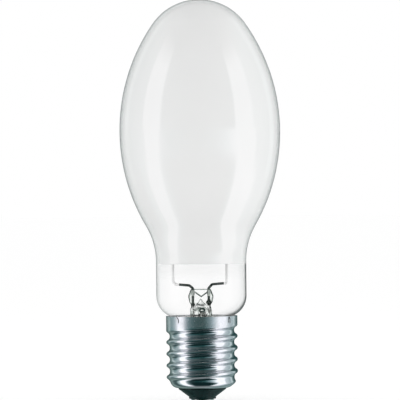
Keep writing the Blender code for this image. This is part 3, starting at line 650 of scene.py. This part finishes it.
def metal(
    name, colour, roughness, grain_scale, grain_depth,
    stretch=(1.0, 1.0, 1.0), stain=0.12, shine=1.0, worn_above=None,
):
    """Metal with stains in its colour, worn and dull spots in its gloss, and its own grain. It may
    be duller from a height up."""
    material, tree = new_material(name)
    place = object_place(tree)
    clouds = noise(tree, place, scale=140.0, detail=4.0, roughness=0.6)
    spots = noise(tree, place, scale=900.0, detail=3.0, roughness=0.6)
    grain = noise(tree, stretched(tree, place, stretch), grain_scale, detail=2.0)
    dull = tuple(value * (1 - stain) for value in colour)
    gloss = ramp(tree, spots, ((0.35, roughness * 0.8), (0.7, min(roughness * 1.5, 1.0))))
    if worn_above is not None:
        height = along_axes(tree, place)["Z"]
        above = map_range(tree, height, worn_above - WEAR_FADE, worn_above + WEAR_FADE)
        gloss = math_node(tree, "MULTIPLY_ADD", above, SKIRT_WEAR, gloss)
        shine = math_node(tree, "MULTIPLY_ADD", above, -SKIRT_FILM, shine)
    show(tree, add_shader(tree, "ShaderNodeBsdfPrincipled", {
        "Base Color": ramp(tree, clouds, ((0.35, dull), (0.6, colour))),
        "Metallic": shine,
        "Roughness": gloss,
        "Normal": bump(tree, grain, grain_depth),
    }))
    return material


def mineral(name, light, dark, roughness, grain_scale, grain_depth, coat=0.0, specular=0.5):
    """Cast, sintered or cemented stuff: clouded colour and a grain of its own."""
    material, tree = new_material(name)
    place = object_place(tree)
    clouds = noise(tree, place, scale=320.0, detail=5.0, roughness=0.6)
    grain = noise(tree, place, grain_scale, detail=3.0, roughness=0.6)
    gloss = ramp(tree, grain, ((0.3, roughness * 0.8), (0.7, min(roughness * 1.3, 1.0))))
    show(tree, add_shader(tree, "ShaderNodeBsdfPrincipled", {
        "Base Color": ramp(tree, clouds, ((0.35, dark), (0.65, light))),
        "Roughness": gloss,
        "Specular IOR Level": specular,
        "Coat Weight": coat,
        "Coat Roughness": 0.06,
        "Normal": bump(tree, grain, grain_depth),
    }))
    return material


DRAWN = (1.0, 1.0, 0.1)  # the grain of a drawn wire, long along Z

clear_glass = thin_glass("clear_glass", 0.01, 0.065, EDGE_TINT)
inner_glass = thin_glass("clear_glass_inside", 0.002, 0.004, None)
stem_glass = stem_material("stem_glass", pinched=False)
press_glass = stem_material("press_glass", pinched=True)
coating = powder_coating()
cap_nickel = metal(
    "cap_nickel", (0.68, 0.685, 0.71), 0.12, 700.0, 0.0016,
    stretch=(1.0, 1.0, 5.0), worn_above=thread_top + RUN_OUT,
)
dark_wire = metal("dark_wire", (0.10, 0.12, 0.11), 0.42, 1800.0, 0.02, stain=0.3, shine=0.5)
seal_wire = metal(
    "seal_wire", (0.7, 0.74, 0.71), 0.5, 1500.0, 0.05,
    stretch=(1.0, 1.0, 0.5), stain=0.2, shine=0.1,
)
nickel_wire = metal(
    "nickel_wire", (0.98, 0.98, 0.975), 0.45, 2200.0, 0.01,
    stretch=DRAWN, stain=0.03, shine=0.05,
)
niobium = metal("niobium", (0.42, 0.43, 0.45), 0.33, 2200.0, 0.01, stretch=DRAWN)
tungsten = metal("tungsten", (0.3, 0.3, 0.31), 0.42, 2600.0, 0.015)
amalgam = metal("amalgam", (0.75, 0.76, 0.78), 0.1, 600.0, 0.01)
spring_steel = metal(
    "spring_steel", (0.45, 0.46, 0.47), 0.32, 1500.0, 0.008, stretch=(0.15, 1.0, 0.15)
)
copper_wire = metal(
    "copper_wire", (0.1, 0.085, 0.08), 0.55, 2400.0, 0.01,
    stretch=(1.0, 1.0, 0.2), stain=0.35, shine=0.8,
)
contact_metal = metal(
    "contact_metal", (0.62, 0.65, 0.65), 0.24, 1300.0, 0.004, stretch=(1.0, 0.2, 1.0), stain=0.2
)
solder = metal("solder", (0.6, 0.62, 0.64), 0.34, 700.0, 0.05, stain=0.2)
alumina = mineral("alumina", (0.9, 0.89, 0.85), (0.84, 0.82, 0.78), 0.5, 3000.0, 0.01)
cement = mineral("cement", (0.86, 0.855, 0.84), (0.74, 0.735, 0.715), 0.95, 1200.0, 0.12)
# Painted shade: a dark colour for the exhaust hole's cut walls and a ring round it, where the clear
# glass only looks dark
hole_rim_shade = mineral(
    "hole_rim_shade", (0.05, 0.08, 0.07), (0.02, 0.04, 0.035), 0.3, 900.0, 0.02, coat=0.5
)
black_glass = mineral(
    "black_glass", (0.004, 0.025, 0.024), (0.002, 0.014, 0.014), 0.3, 350.0, 0.03,
    coat=0.06, specular=0.2,
)


# Screw cap

def thread_skin(bm, inset, rows_per_pitch):
    """The threaded face, `inset` inside the outer one, in rows that follow the thread's helix.
    Rows past the thread's ends close up to a level ring. Returns the lower and the upper ring."""
    snap = THREAD_PITCH / rows_per_pitch / 2
    first = floor((thread_base - crest_height) / THREAD_PITCH) - 2
    last = ceil((skirt_base - crest_height) / THREAD_PITCH) + 1
    shares = [first + row / rows_per_pitch for row in range((last - first) * rows_per_pitch)]
    columns = []
    for side in range(ROUND):
        turns = side / ROUND
        column = []
        made = {}
        for share in shares:
            height = crest_height + (share + turns) * THREAD_PITCH
            if height < thread_base + snap:
                height = thread_base
            if height > skirt_base - snap:
                height = skirt_base
            if height not in made:
                radius = thread_radius(turns, height) - inset
                made[height] = bm.verts.new(Vector(on_ring(radius, TURN * turns, height)) * MM)
            column.append(made[height])
        columns.append(column)
    for side, column in enumerate(columns):
        if side < ROUND - 1:
            following = columns[side + 1]
        else:
            following = columns[0][rows_per_pitch:] + [columns[0][-1]] * rows_per_pitch
        for row in range(len(shares) - 1):
            add_face(bm, (column[row], following[row], following[row + 1], column[row + 1]))
    return [column[0] for column in columns], [column[-1] for column in columns]


def shell_face(bm, inset, rows_per_pitch):
    """The shell's face from its mouth to its rim. Returns the ring at each end."""
    lower, upper = thread_skin(bm, inset, rows_per_pitch)
    corner_middle = (shell_flat_radius, thread_base)
    corner = arc(corner_middle, SHELL_CORNER - inset, -pi / 2, 0.0, steps=12)
    rings = []
    for radius, height in [(mouth_radius, SHELL_FLOOR + inset)] + corner[:-1]:
        swell = fade((height - SHELL_FLOOR - inset) / (SHELL_CORNER - inset))
        points = []
        for side in range(ROUND):
            turns = side / ROUND
            crest = thread_radius(turns, height) - root_radius
            points.append(on_ring(radius + crest * swell, TURN * turns, height))
        rings.append(add_ring(bm, points))
    rings.append(lower)
    for below, above in zip(rings, rings[1:]):
        bridge(bm, below, above)
    for height in (skirt_base + SKIRT_FIRST_ROW, CAP_HEIGHT - SKIRT_LAST_ROW, CAP_HEIGHT):
        angles = [TURN * side / ROUND for side in range(ROUND)]
        rim = add_ring(bm, [on_ring(CREST_RADIUS - inset, angle, height) for angle in angles])
        bridge(bm, upper, rim)
        upper = rim
    return rings[0], rim


def make_cap_shell():
    bm = bmesh.new()
    outer_mouth, outer_rim = shell_face(bm, 0.0, ROWS_PER_PITCH)
    inner_mouth, inner_rim = shell_face(bm, SHELL_WALL, INNER_ROWS_PER_PITCH)
    bridge(bm, outer_mouth, inner_mouth)
    bridge(bm, outer_rim, inner_rim)
    mesh = mesh_from("rolled_cap_shell", bm)
    shell = piece(mesh, [cap_nickel], "cap_shell")
    notch = bmesh.new()
    bmesh.ops.create_cube(notch, size=MM)
    notch_size = (4 * SHELL_WALL, NOTCH_WIDTH, 2 * NOTCH_DEPTH)
    bmesh.ops.scale(notch, vec=notch_size, verts=notch.verts)
    at_rim = Vector((CREST_RADIUS, 0.0, CAP_HEIGHT)) * MM
    bmesh.ops.translate(notch, vec=at_rim, verts=notch.verts)
    cutter = add_object("rim_notch", mesh_from("rim_notch", notch))
    cutter.data.materials.append(cap_nickel)
    cutter.rotation_euler.z = radians(NOTCH_ANGLE)
    cut_with(shell, cutter)


def lower_corner(radius, height):
    """The rounded lower corner of an outline."""
    middle = (radius - LOWER_EDGE, height + LOWER_EDGE)
    return arc(middle, LOWER_EDGE, -pi / 2, 0.0, steps=4)


def upper_corner(radius, height, edge, start, steps):
    """The rounded upper corner of an outline, from the direction `start` to straight up."""
    return arc((radius - edge, height - edge), edge, start, pi / 2, steps)


def make_insulator():
    low, high = (corner.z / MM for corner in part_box("cap_insulator"))
    cone_top = SHELL_FLOOR - GAP
    inside_floor = SHELL_FLOOR + SHELL_WALL + GAP
    inside_radius = shell_flat_radius - GAP
    step = low + FOOT_HEIGHT
    outline = [(CENTRE_HOLE, low)] + lower_corner(FOOT_RADIUS, low)
    outline += [(FOOT_RADIUS + outwards, step + up) for outwards, up in FOOT_STEP]
    outline += upper_corner(mouth_radius + CONE_LIP, cone_top, CONE_EDGE, -pi / 4, steps=5)
    outline += [(mouth_radius - GAP, cone_top), (mouth_radius - GAP, inside_floor)]
    outline += [(inside_radius, inside_floor), (inside_radius, high), (CENTRE_HOLE, high)]
    mesh = turned_mesh("cast_insulator", outline)
    piece(mesh, [black_glass], "cap_insulator")


def make_contact():
    low, high = (corner.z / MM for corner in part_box("centre_contact"))
    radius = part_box("centre_contact")[1].x / MM
    outline = [(CENTRE_HOLE, low)] + lower_corner(radius, low)
    outline += upper_corner(radius, high, CONTACT_EDGE, 0.0, steps=2) + [(CENTRE_HOLE, high)]
    mesh = turned_mesh("pressed_contact", outline, CONTACT_SIDES)
    piece(mesh, [contact_metal], "centre_contact")


def make_solder():
    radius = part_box("contact_solder")[1].x / MM
    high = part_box("contact_solder")[1].z / MM
    outline = [(0.0, 0.0)] + [(radius - inwards, up) for inwards, up in SOLDER_ROUND]
    outline += [(radius, SOLDER_BUTTON), (SOLDER_SHANK, SOLDER_BUTTON), (SOLDER_SHANK, high)]
    mesh = turned_mesh("solder_button", outline + [(0.0, high)], SOLDER_SIDES)
    piece(mesh, [solder], "contact_solder")


# Bulb, coating and stem

def make_outer_bulb():
    outside = neck_outline(0.0) + body_outline(0.0)
    inside = neck_outline(GLASS_WALL) + body_outline(GLASS_WALL)
    mesh = turned_mesh("blown_bulb", outside + inside[::-1], inner_from=len(outside))
    piece(mesh, [clear_glass, inner_glass], "outer_bulb")


def make_coating():
    outer = GLASS_WALL + GAP
    inner = outer + COATING_THICKNESS
    outside = [(NECK_RADIUS - outer, coating_height)] + body_outline(outer)
    inside = [(NECK_RADIUS - inner, coating_height)] + body_outline(inner)
    mesh = turned_mesh("powder_layer", outside + inside[::-1])
    piece(mesh, [coating], "diffuser_coating")


def stem_ring(half_width, half_depth, height, squareness=2.0):
    """A ring from round (2) to nearly a rectangle (4 and more), moved aside as the stem leans."""
    lean = PRESS_ASIDE * fade((height - stem_foot) / (press_base - stem_foot))
    points = []
    for side in range(STEM_SIDES):
        angle = TURN * side / STEM_SIDES
        x = copysign(abs(cos(angle)) ** (2 / squareness), cos(angle)) * half_width
        y = copysign(abs(sin(angle)) ** (2 / squareness), sin(angle)) * half_depth
        points.append((x + lean, y, height))
    return points


def side_reach(above):
    """Half the width of the press at a height above its base."""
    for (low, narrow), (high, wide) in zip(PRESS_SIDE, PRESS_SIDE[1:]):
        if above <= high:
            return narrow + (wide - narrow) * fade((above - low) / (high - low))
    return PRESS_SIDE[-1][1]


def stem_rings():
    """The rings from the hollow's ceiling down inside, round the flare and up the press."""
    flare_centre = (STEM_TUBE_RADIUS + FLARE_RADIUS, stem_foot + STEM_WALL + FLARE_RADIUS)
    inner_flare = arc(flare_centre, FLARE_RADIUS + STEM_WALL, pi, 1.5 * pi, steps=14)
    outer_flare = arc(flare_centre, FLARE_RADIUS, 1.5 * pi, pi, steps=14)
    seal = [(seal_radius, stem_foot), (seal_radius, stem_foot + STEM_WALL)]
    bore = STEM_TUBE_RADIUS - STEM_WALL
    half_depth = PRESS_THICKNESS / 2
    rings = []
    for step in range(CEILING_STEPS):
        share = sin(pi / 2 * (step + 0.5) / CEILING_STEPS)
        ceiling = hollow_top - HOLLOW_INTO_PRESS * (1 - sqrt(1 - share * share)) * 2
        depth = half_depth * share + (bore - half_depth) * share**3
        rings.append(stem_ring(bore * share, depth, ceiling))
    rings.append(stem_ring(bore, bore, press_base - HOLLOW_INTO_PRESS))
    for radius, height in inner_flare + seal + outer_flare:
        rings.append(stem_ring(radius, radius, height))
    for step in range(PRESS_STEPS + 1):
        above = (PRESS_HEIGHT - PRESS_EDGE) * step / PRESS_STEPS
        pinch = fade(above / PRESS_BLEND)
        width = side_reach(above)
        depth = STEM_TUBE_RADIUS + (half_depth - STEM_TUBE_RADIUS) * pinch
        squareness = 2 + (PRESS_SQUARENESS - 2) * pinch
        rings.append(stem_ring(width, depth, press_base + above, squareness))
    for step in range(1, PRESS_EDGE_STEPS):
        angle = pi / 2 * step / PRESS_EDGE_STEPS
        inset = PRESS_EDGE * (1 - cos(angle))
        top = press_top - PRESS_EDGE * (1 - sin(angle))
        rings.append(stem_ring(width - inset, depth - inset, top, PRESS_SQUARENESS))
    return rings


def make_exhaust_hole(stem):
    """The hole blown through the front of the press. Its cut walls and a ring round it are coloured
    dark as painted shade.
    """
    hole = bmesh.new()
    reach = STEM_TUBE_RADIUS + STEM_WALL
    radius = EXHAUST_HOLE_RADIUS * MM
    bmesh.ops.create_cone(
        hole, cap_ends=True, segments=HOLE_SIDES, radius1=radius, radius2=radius, depth=reach * MM
    )
    cutter = add_object("exhaust_hole", mesh_from("exhaust_hole", hole))
    # The hole's cut walls take this dark colour: painted shade
    cutter.data.materials.append(hole_rim_shade)
    hole_height = hollow_top - EXHAUST_HOLE_BELOW_CEILING
    middle = Vector((EXHAUST_HOLE_ASIDE, -STEM_TUBE_RADIUS, hole_height))
    cutter.location = (middle + Vector((0.0, STEM_TUBE_RADIUS - reach / 2, 0.0))) * MM
    cutter.rotation_euler.x = pi / 2
    cutter.scale.y = EXHAUST_HOLE_FLATNESS
    cut_with(stem, cutter)
    # Painted shade: a dark ring round the hole
    shade_ring = []
    for side in range(HOLE_SIDES + 2):
        angle = TURN * side / HOLE_SIDES
        high = EXHAUST_HOLE_FLATNESS * sin(angle)
        shade_ring.append(middle + Vector((cos(angle), 0.0, high)) * EXHAUST_HOLE_RADIUS)
    rim = wire_mesh("exhaust_hole_shade_ring", shade_ring, SHADE_RING_WIRE)
    piece(rim, [hole_rim_shade], "glass_stem")


def make_glass_stem():
    """The flare, the tube and the pinched press with its rounded sides, and the exhaust hole."""
    mesh = stacked_mesh("pinched_stem", stem_rings(), sharp=60.0)
    make_exhaust_hole(piece(mesh, [press_glass], "glass_stem"))


# A thin dark curved mark over the cap's rim, left of the front, made as a thin round strand: its
# radius, and its course by the angle from the front, how far it stands off the skirt's face and its
# height above the rim
RIM_MARK_RADIUS = 0.13
RIM_MARK = (
    (-47.0, -0.5, 0.17), (-45.4, -0.1, 0.25), (-44.0, 0.15, 0.1),
    (-42.8, 0.17, -0.5), (-41.3, 0.17, -1.1), (-40.5, 0.17, -1.8),
    (-40.3, 0.17, -2.6), (-40.8, 0.17, -3.5),
)


def make_rim_mark():
    points = []
    for degrees, off, above in RIM_MARK:
        angle = radians(degrees - 90.0)
        points.append(Vector(on_ring(CREST_RADIUS + off, angle, CAP_HEIGHT + above)))
    mesh = wire_mesh("rim_mark", points, RIM_MARK_RADIUS)
    piece(mesh, [dark_wire], "cap_shell")


# Leads and frame rods

def rounded(route, bends):
    """A route in the XZ plane with an arc at each inner point, of the radius in `bends`."""
    route = [Vector(point) for point in route]
    points = [route[0]]
    for before, corner, after, bend in zip(route, route[1:], route[2:], bends):
        back = (before - corner).normalized()
        ahead = (after - corner).normalized()
        half = back.angle(ahead) / 2
        centre = corner + (back + ahead).normalized() * bend / sin(half)
        start = corner + back * bend / tan(half) - centre
        turn = pi - 2 * half
        axis = back.cross(ahead)
        steps = max(1, round(turn / radians(BEND_STEP)))
        for step in range(steps + 1):
            points.append(centre + Matrix.Rotation(-turn * step / steps, 3, axis) @ start)
    return points + [route[-1]]


def wire_mesh(name, points, radius, knots=(), band=None):
    """A round wire with slightly rounded ends. It runs in the XZ plane, or nearly upright. Knots
    are swellings, and faces within the band take the second material. Both go by height."""
    rings = []
    for index, point in enumerate(points):
        before, after = points[max(index - 1, 0)], points[min(index + 1, len(points) - 1)]
        along = (after - before).normalized()
        across = Vector((-along.z, 0.0, along.x))
        grown = radius
        for height, rise, half_length in knots:
            grown += rise * exp(-(((point.z - height) / half_length) ** 2))
        places = [(point, grown)]
        if index == 0:
            places = [(point, grown - WIRE_EDGE), (point + along * WIRE_EDGE, grown)]
        elif index == len(points) - 1:
            places = [(point - along * WIRE_EDGE, grown), (point, grown - WIRE_EDGE)]
        for centre, reach in places:
            ring = []
            for side in range(WIRE_SIDES):
                angle = TURN * side / WIRE_SIDES
                outward = across * cos(angle) + Vector((0.0, sin(angle), 0.0))
                ring.append(centre + outward * reach)
            rings.append(ring)
    return stacked_mesh(name, rings, sharp=50.0, band=band)


def make_lead_and_rod(side, out, knots, weld_to_rod, rise, rod_x, top_route, top_bends):
    """The dark lead out of the press, and the bright rod welded to its end."""
    lead_x = PRESS_ASIDE + out * (PRESS_REACH - LEAD_TO_PRESS_EDGE)
    lead_level = press_top + rise
    weld_x = rod_x - out * weld_to_rod
    foot = press_top - LEAD_IN_PRESS
    points = []
    for row in range(LEAD_ROWS):
        points.append(Vector((lead_x, 0.0, foot + row * (press_top - foot) / LEAD_ROWS)))
    lead_route = [
        (lead_x, 0.0, press_top),
        (lead_x, 0.0, press_top + LEAD_STRAIGHT),
        (lead_x + out * LEAD_RUN, 0.0, lead_level - LEAD_SLOPE),
        (weld_x, 0.0, lead_level),
    ]
    points += rounded(lead_route, (LEAD_BEND, LEAD_BEND))[1:]
    swellings = [(foot + above, swell, half_length) for above, swell, half_length in knots]
    band = [foot + above for above in SEAL_BAND]
    lead = wire_mesh("drawn_lead_" + side, points, LEAD_RADIUS, swellings, band)
    piece(lead, [dark_wire, seal_wire], "lead_in_" + side)
    rod_route = [(weld_x + out * GAP, 0.0, lead_level), (rod_x, 0.0, lead_level)] + top_route
    points = rounded(rod_route, [weld_to_rod - 2 * GAP] + top_bends)
    rod = wire_mesh("drawn_rod_" + side, points, ROD_RADIUS)
    piece(rod, [nickel_wire], "frame_rod_" + side)


def make_leads_and_rods():
    low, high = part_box("frame_rod_left")
    left_rod = low.x / MM + ROD_RADIUS
    bar_height = high.z / MM - ROD_RADIUS
    right_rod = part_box("frame_rod_right")[1].x / MM - ROD_RADIUS
    over = [(left_rod, 0.0, bar_height), (right_rod, 0.0, bar_height)]
    up = [(right_rod, 0.0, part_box("frame_rod_right")[1].z / MM)]
    make_lead_and_rod(
        "left", -1.0, LEFT_KNOTS, LEFT_WELD_TO_ROD, LEFT_LEAD_RISE, left_rod, over, [ROD_TOP_BEND]
    )
    make_lead_and_rod(
        "right", 1.0, RIGHT_KNOTS, RIGHT_WELD_TO_ROD, RIGHT_LEAD_RISE, right_rod, up, []
    )


# Pieces that keep the part's own meshes

KEPT_FINISHES = (
    (stem_glass, ("exhaust_tube",)),
    (alumina, ("arc_tube", "end_plug_lower", "end_plug_upper")),
    (niobium, ("niobium_tube_lower", "niobium_tube_upper")),
    (tungsten, ("electrode_lower", "electrode_upper", "ignition_wire")),
    (amalgam, ("amalgam_bead",)),
    (nickel_wire, ("strap_lower", "strap_upper")),
    (spring_steel, ("dome_spring_left", "dome_spring_right", "getter_left", "getter_right")),
    (copper_wire, ("contact_lead", "shell_lead")),
    (cement, ("basing_cement",)),
)


def finish_kept_nodes():
    for material, names in KEPT_FINISHES:
        for name in names:
            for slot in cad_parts[name].material_slots:
                slot.material = material


# Studio

FLOOR_SIZE = 40.0
FLOOR_GREY = (0.95, 0.95, 0.95, 1.0)
SHADOW_GREY = (0.5, 0.5, 0.5, 1.0)
FLOOR_GLOW = 0.59


def background_ray(tree, rays):
    """1 for the rays that see the background: the camera's own, also where they pass glass."""
    return math_node(tree, "MAXIMUM", rays["Is Camera Ray"], rays["Is Transmission Ray"])


def make_floor():
    """A pale floor. The camera sees it nearly white with the lamp's soft shadow on it, and mirror
    rays pass through it, because the tall soft lamps reach below it."""
    material, tree = new_material("pale_floor")
    rays = tree.nodes.new("ShaderNodeLightPath").outputs
    plain = add_shader(tree, "ShaderNodeBsdfDiffuse", {"Color": FLOOR_GREY})
    shadow = add_shader(tree, "ShaderNodeBsdfDiffuse", {"Color": SHADOW_GREY})
    glow = add_shader(tree, "ShaderNodeEmission", {"Strength": FLOOR_GLOW})
    lifted = add_shader(tree, "ShaderNodeAddShader", {0: shadow, 1: glow})
    shown = mix_shaders(tree, background_ray(tree, rays), plain, lifted)
    through = add_shader(tree, "ShaderNodeBsdfTransparent", {})
    show(tree, mix_shaders(tree, rays["Is Glossy Ray"], shown, through))
    mesh = bpy.data.meshes.new("floor")
    half = FLOOR_SIZE / 2
    corners = [(-half, -half, 0), (half, -half, 0), (half, half, 0), (-half, half, 0)]
    mesh.from_pydata(corners, [], [(0, 1, 2, 3)])
    mesh.materials.append(material)
    add_object("floor", mesh)


# What mirrors show around the lamp: the angle from the camera's side, where minus is left, and the
# colour there. Two tall soft lamps stand at the sides, the camera's side is dark, and the far side
# is dim.
FAR_LEFT = (
    (-180, 0.03, 0.065, 0.06), (-150, 0.14, 0.21, 0.2), (-138, 0.3, 0.42, 0.4),
)
FAR_RIGHT = (
    (119, 0.42, 0.54, 0.56), (122, 0.75, 0.9, 0.9), (131, 0.75, 0.9, 0.9),
    (135, 0.22, 0.32, 0.32), (153, 0.03, 0.08, 0.08),
)
AROUND = (
    *FAR_LEFT,
    (-134, 0.5, 0.62, 0.6), (-127, 0.5, 0.62, 0.6), (-123, 0.24, 0.37, 0.37),
    (-107, 0.28, 0.42, 0.43), (-96, 0.58, 0.7, 0.72), (-88, 0.85, 0.92, 0.95),
    (-86, 1.5, 1.51, 1.56), (-63, 1.5, 1.51, 1.56), (-59, 0.8, 0.86, 0.92),
    (-50, 0.36, 0.47, 0.5), (-43, 0.17, 0.3, 0.32), (-35, 0.07, 0.17, 0.175),
    (-24, 0.022, 0.1, 0.1), (-12, 0.01, 0.075, 0.072), (6, 0.014, 0.08, 0.078),
    (16, 0.08, 0.19, 0.19), (27, 0.25, 0.37, 0.4), (34, 0.46, 0.6, 0.64),
    (40, 0.76, 0.9, 0.95), (46, 1.05, 1.15, 1.2), (51, 1.32, 1.38, 1.44),
    (55, 1.5, 1.52, 1.57), (87, 1.44, 1.47, 1.52), (91, 0.75, 0.85, 0.89),
    *FAR_RIGHT,
)
# The same further down, where the lamps' edges are sharp and the camera's side is darker
AROUND_LOW = (
    (-180, 0.10, 0.15, 0.14), (-150, 0.25, 0.35, 0.33), (-140, 0.3, 0.4, 0.38),
    (-136, 0.1, 0.16, 0.16), (-112, 0.06, 0.11, 0.11), (-100, 0.5, 0.66, 0.65),
    (-92, 0.8, 0.92, 0.92), (-90, 1.5, 1.51, 1.56), (-66, 1.5, 1.51, 1.56),
    (-61, 0.55, 0.64, 0.66), (-55, 0.2, 0.29, 0.3), (-47, 0.04, 0.08, 0.085),
    (-36, 0.006, 0.024, 0.025), (36, 0.006, 0.024, 0.026), (46, 0.04, 0.1, 0.1),
    (52, 0.2, 0.3, 0.31), (56, 0.6, 0.7, 0.72), (59, 1.5, 1.52, 1.57),
    (95, 1.5, 1.52, 1.57), (99, 0.9, 1.0, 1.03), (112, 0.55, 0.66, 0.69),
    (126, 0.6, 0.7, 0.72), (133, 0.18, 0.28, 0.28), (150, 0.25, 0.35, 0.35),
    (165, 0.3, 0.42, 0.42), (180, 0.10, 0.15, 0.14),
)
# The same above the lamp's middle, where only the bulb mirrors it and both edges are sharp
AROUND_HIGH = (
    *FAR_LEFT,
    (-134, 0.7, 0.82, 0.82), (-127, 0.7, 0.82, 0.82), (-123, 0.32, 0.45, 0.45),
    (-92, 0.6, 0.7, 0.72), (-89, 1.5, 1.51, 1.56), (-60, 1.5, 1.51, 1.56),
    (-57, 0.3, 0.36, 0.38), (-40, 0.12, 0.17, 0.18), (0, 0.02, 0.05, 0.05),
    (40, 0.12, 0.17, 0.18), (51, 0.25, 0.32, 0.34), (54, 1.4, 1.43, 1.48),
    (82, 1.4, 1.43, 1.48), (86, 0.8, 0.9, 0.92),
    *FAR_RIGHT,
)
BRIGHTEST = 1.6
# Where AROUND_LOW and AROUND_HIGH take over, and where plain dark ends do, by a direction's rise: 0
# is straight down, 0.5 level and 1 straight up
LOW_SHARE = ((0.33, 1.0), (0.42, 0.0))
HIGH_SHARE = ((0.5, 0.0), (0.53, 1.0))
STEEP_SHARE = ((0.02, 1.0), (0.06, 0.0), (0.79, 0.0), (0.9, 1.0))
STEEP_COLOURS = ((0.35, (0.04, 0.06, 0.06)), (0.75, (0.32, 0.35, 0.36)))  # from front to back
# The plain light on dull surfaces, dimmer from above, by the same rise
FILL = 2.42
FILL_LEVELS = ((0.5, 1.0), (0.56, 0.67), (0.65, 0.475), (0.8, 0.345), (0.9, 0.275), (1.0, 0.21))

LAMP_DISTANCE = 1.3
LAMP_WIDTH = 0.7
LAMP_TALL = 1.3
LAMP_AIM = 0.12
SOFT_LAMPS = ((-95.0, 0.35, 0.5), (95.0, 0.35, 1.75), (0.0, 0.05, 0.8))  # angle, rise, power


def angle_ramp(tree, place, levels):
    """A ramp of light levels by angle, scaled down to fit a ramp's range."""
    stops = []
    for degrees, *colour in levels:
        stops.append((degrees / 360 + 0.5, tuple(level / BRIGHTEST for level in colour)))
    return ramp(tree, place, stops)


def make_world():
    """White where the camera looks past the lamp, plain grey light for dull surfaces, and the
    studio's lights and darks for mirrors."""
    world = bpy.data.worlds.new("studio")
    bpy.context.scene.world = world
    world.use_nodes = True
    tree = world.node_tree
    tree.nodes.clear()
    rays = tree.nodes.new("ShaderNodeLightPath").outputs
    x, y, z = along_axes(tree, tree.nodes.new("ShaderNodeTexCoord").outputs["Generated"])
    angle = math_node(tree, "ARCTAN2", x, math_node(tree, "MULTIPLY", y, -1.0))
    place = math_node(tree, "MULTIPLY_ADD", angle, 1 / TURN, 0.5)
    rise = math_node(tree, "MULTIPLY_ADD", z, 0.5, 0.5)
    backward = math_node(tree, "MULTIPLY_ADD", y, 0.5, 0.5)
    tables = (AROUND, AROUND_LOW, AROUND_HIGH)
    around, low, high = [angle_ramp(tree, place, levels) for levels in tables]
    lower = blend(tree, ramp(tree, rise, LOW_SHARE), around, low)
    level = blend(tree, ramp(tree, rise, HIGH_SHARE), lower, high)
    ends = ramp(tree, backward, STEEP_COLOURS)
    mirrored = blend(tree, ramp(tree, rise, STEEP_SHARE), level, ends)
    dome = ramp(tree, rise, FILL_LEVELS)
    shine = add_shader(tree, "ShaderNodeBackground", {"Color": mirrored, "Strength": BRIGHTEST})
    fill = add_shader(tree, "ShaderNodeBackground", {"Color": dome, "Strength": FILL})
    white = add_shader(tree, "ShaderNodeBackground", {"Color": WHITE, "Strength": 1.0})
    lit = mix_shaders(tree, rays["Is Glossy Ray"], fill, shine)
    surface = mix_shaders(tree, background_ray(tree, rays), lit, white)
    add_node(tree, "ShaderNodeOutputWorld", {"Surface": surface})


def make_soft_lamps():
    """Soft boxes. Mirrors see them in the world's picture instead, which reaches lower."""
    for degrees, rise, power in SOFT_LAMPS:
        light = bpy.data.lights.new("soft_lamp", "AREA")
        light.shape = "RECTANGLE"
        light.size, light.size_y = LAMP_WIDTH, LAMP_TALL
        light.energy = power
        lamp = add_object("soft_lamp", light)
        angle = radians(degrees)
        lamp.location = Vector((sin(angle), -cos(angle), rise)) * LAMP_DISTANCE
        from_aim = lamp.location - Vector((0.0, 0.0, LAMP_AIM))
        lamp.rotation_euler = from_aim.to_track_quat("Z", "Y").to_euler()
        lamp.visible_glossy = False
        lamp.visible_camera = False


CAMERA_HEIGHT = 0.1099
CAMERA_DISTANCE = 1.8
CAMERA_ASIDE = -0.00027
CAMERA_ROLL = 0.59  # degrees
CAMERA_LENS = 297.2  # millimetres, as is its sensor
CAMERA_SENSOR = 36.0


def make_camera():
    data = bpy.data.cameras.new("camera")
    data.lens = CAMERA_LENS
    data.sensor_width = CAMERA_SENSOR
    camera = add_object("camera", data)
    camera.location = (CAMERA_ASIDE, -CAMERA_DISTANCE, CAMERA_HEIGHT)
    camera.rotation_euler = (pi / 2, radians(CAMERA_ROLL), 0.0)
    bpy.context.scene.camera = camera


make_camera()
make_cap_shell()
make_rim_mark()
make_insulator()
make_contact()
make_solder()
make_outer_bulb()
make_coating()
make_glass_stem()
make_leads_and_rods()
finish_kept_nodes()
make_floor()
make_world()
make_soft_lamps()

scene = bpy.context.scene
scene.view_settings.view_transform = "Standard"
scene.cycles.transparent_max_bounces = 24
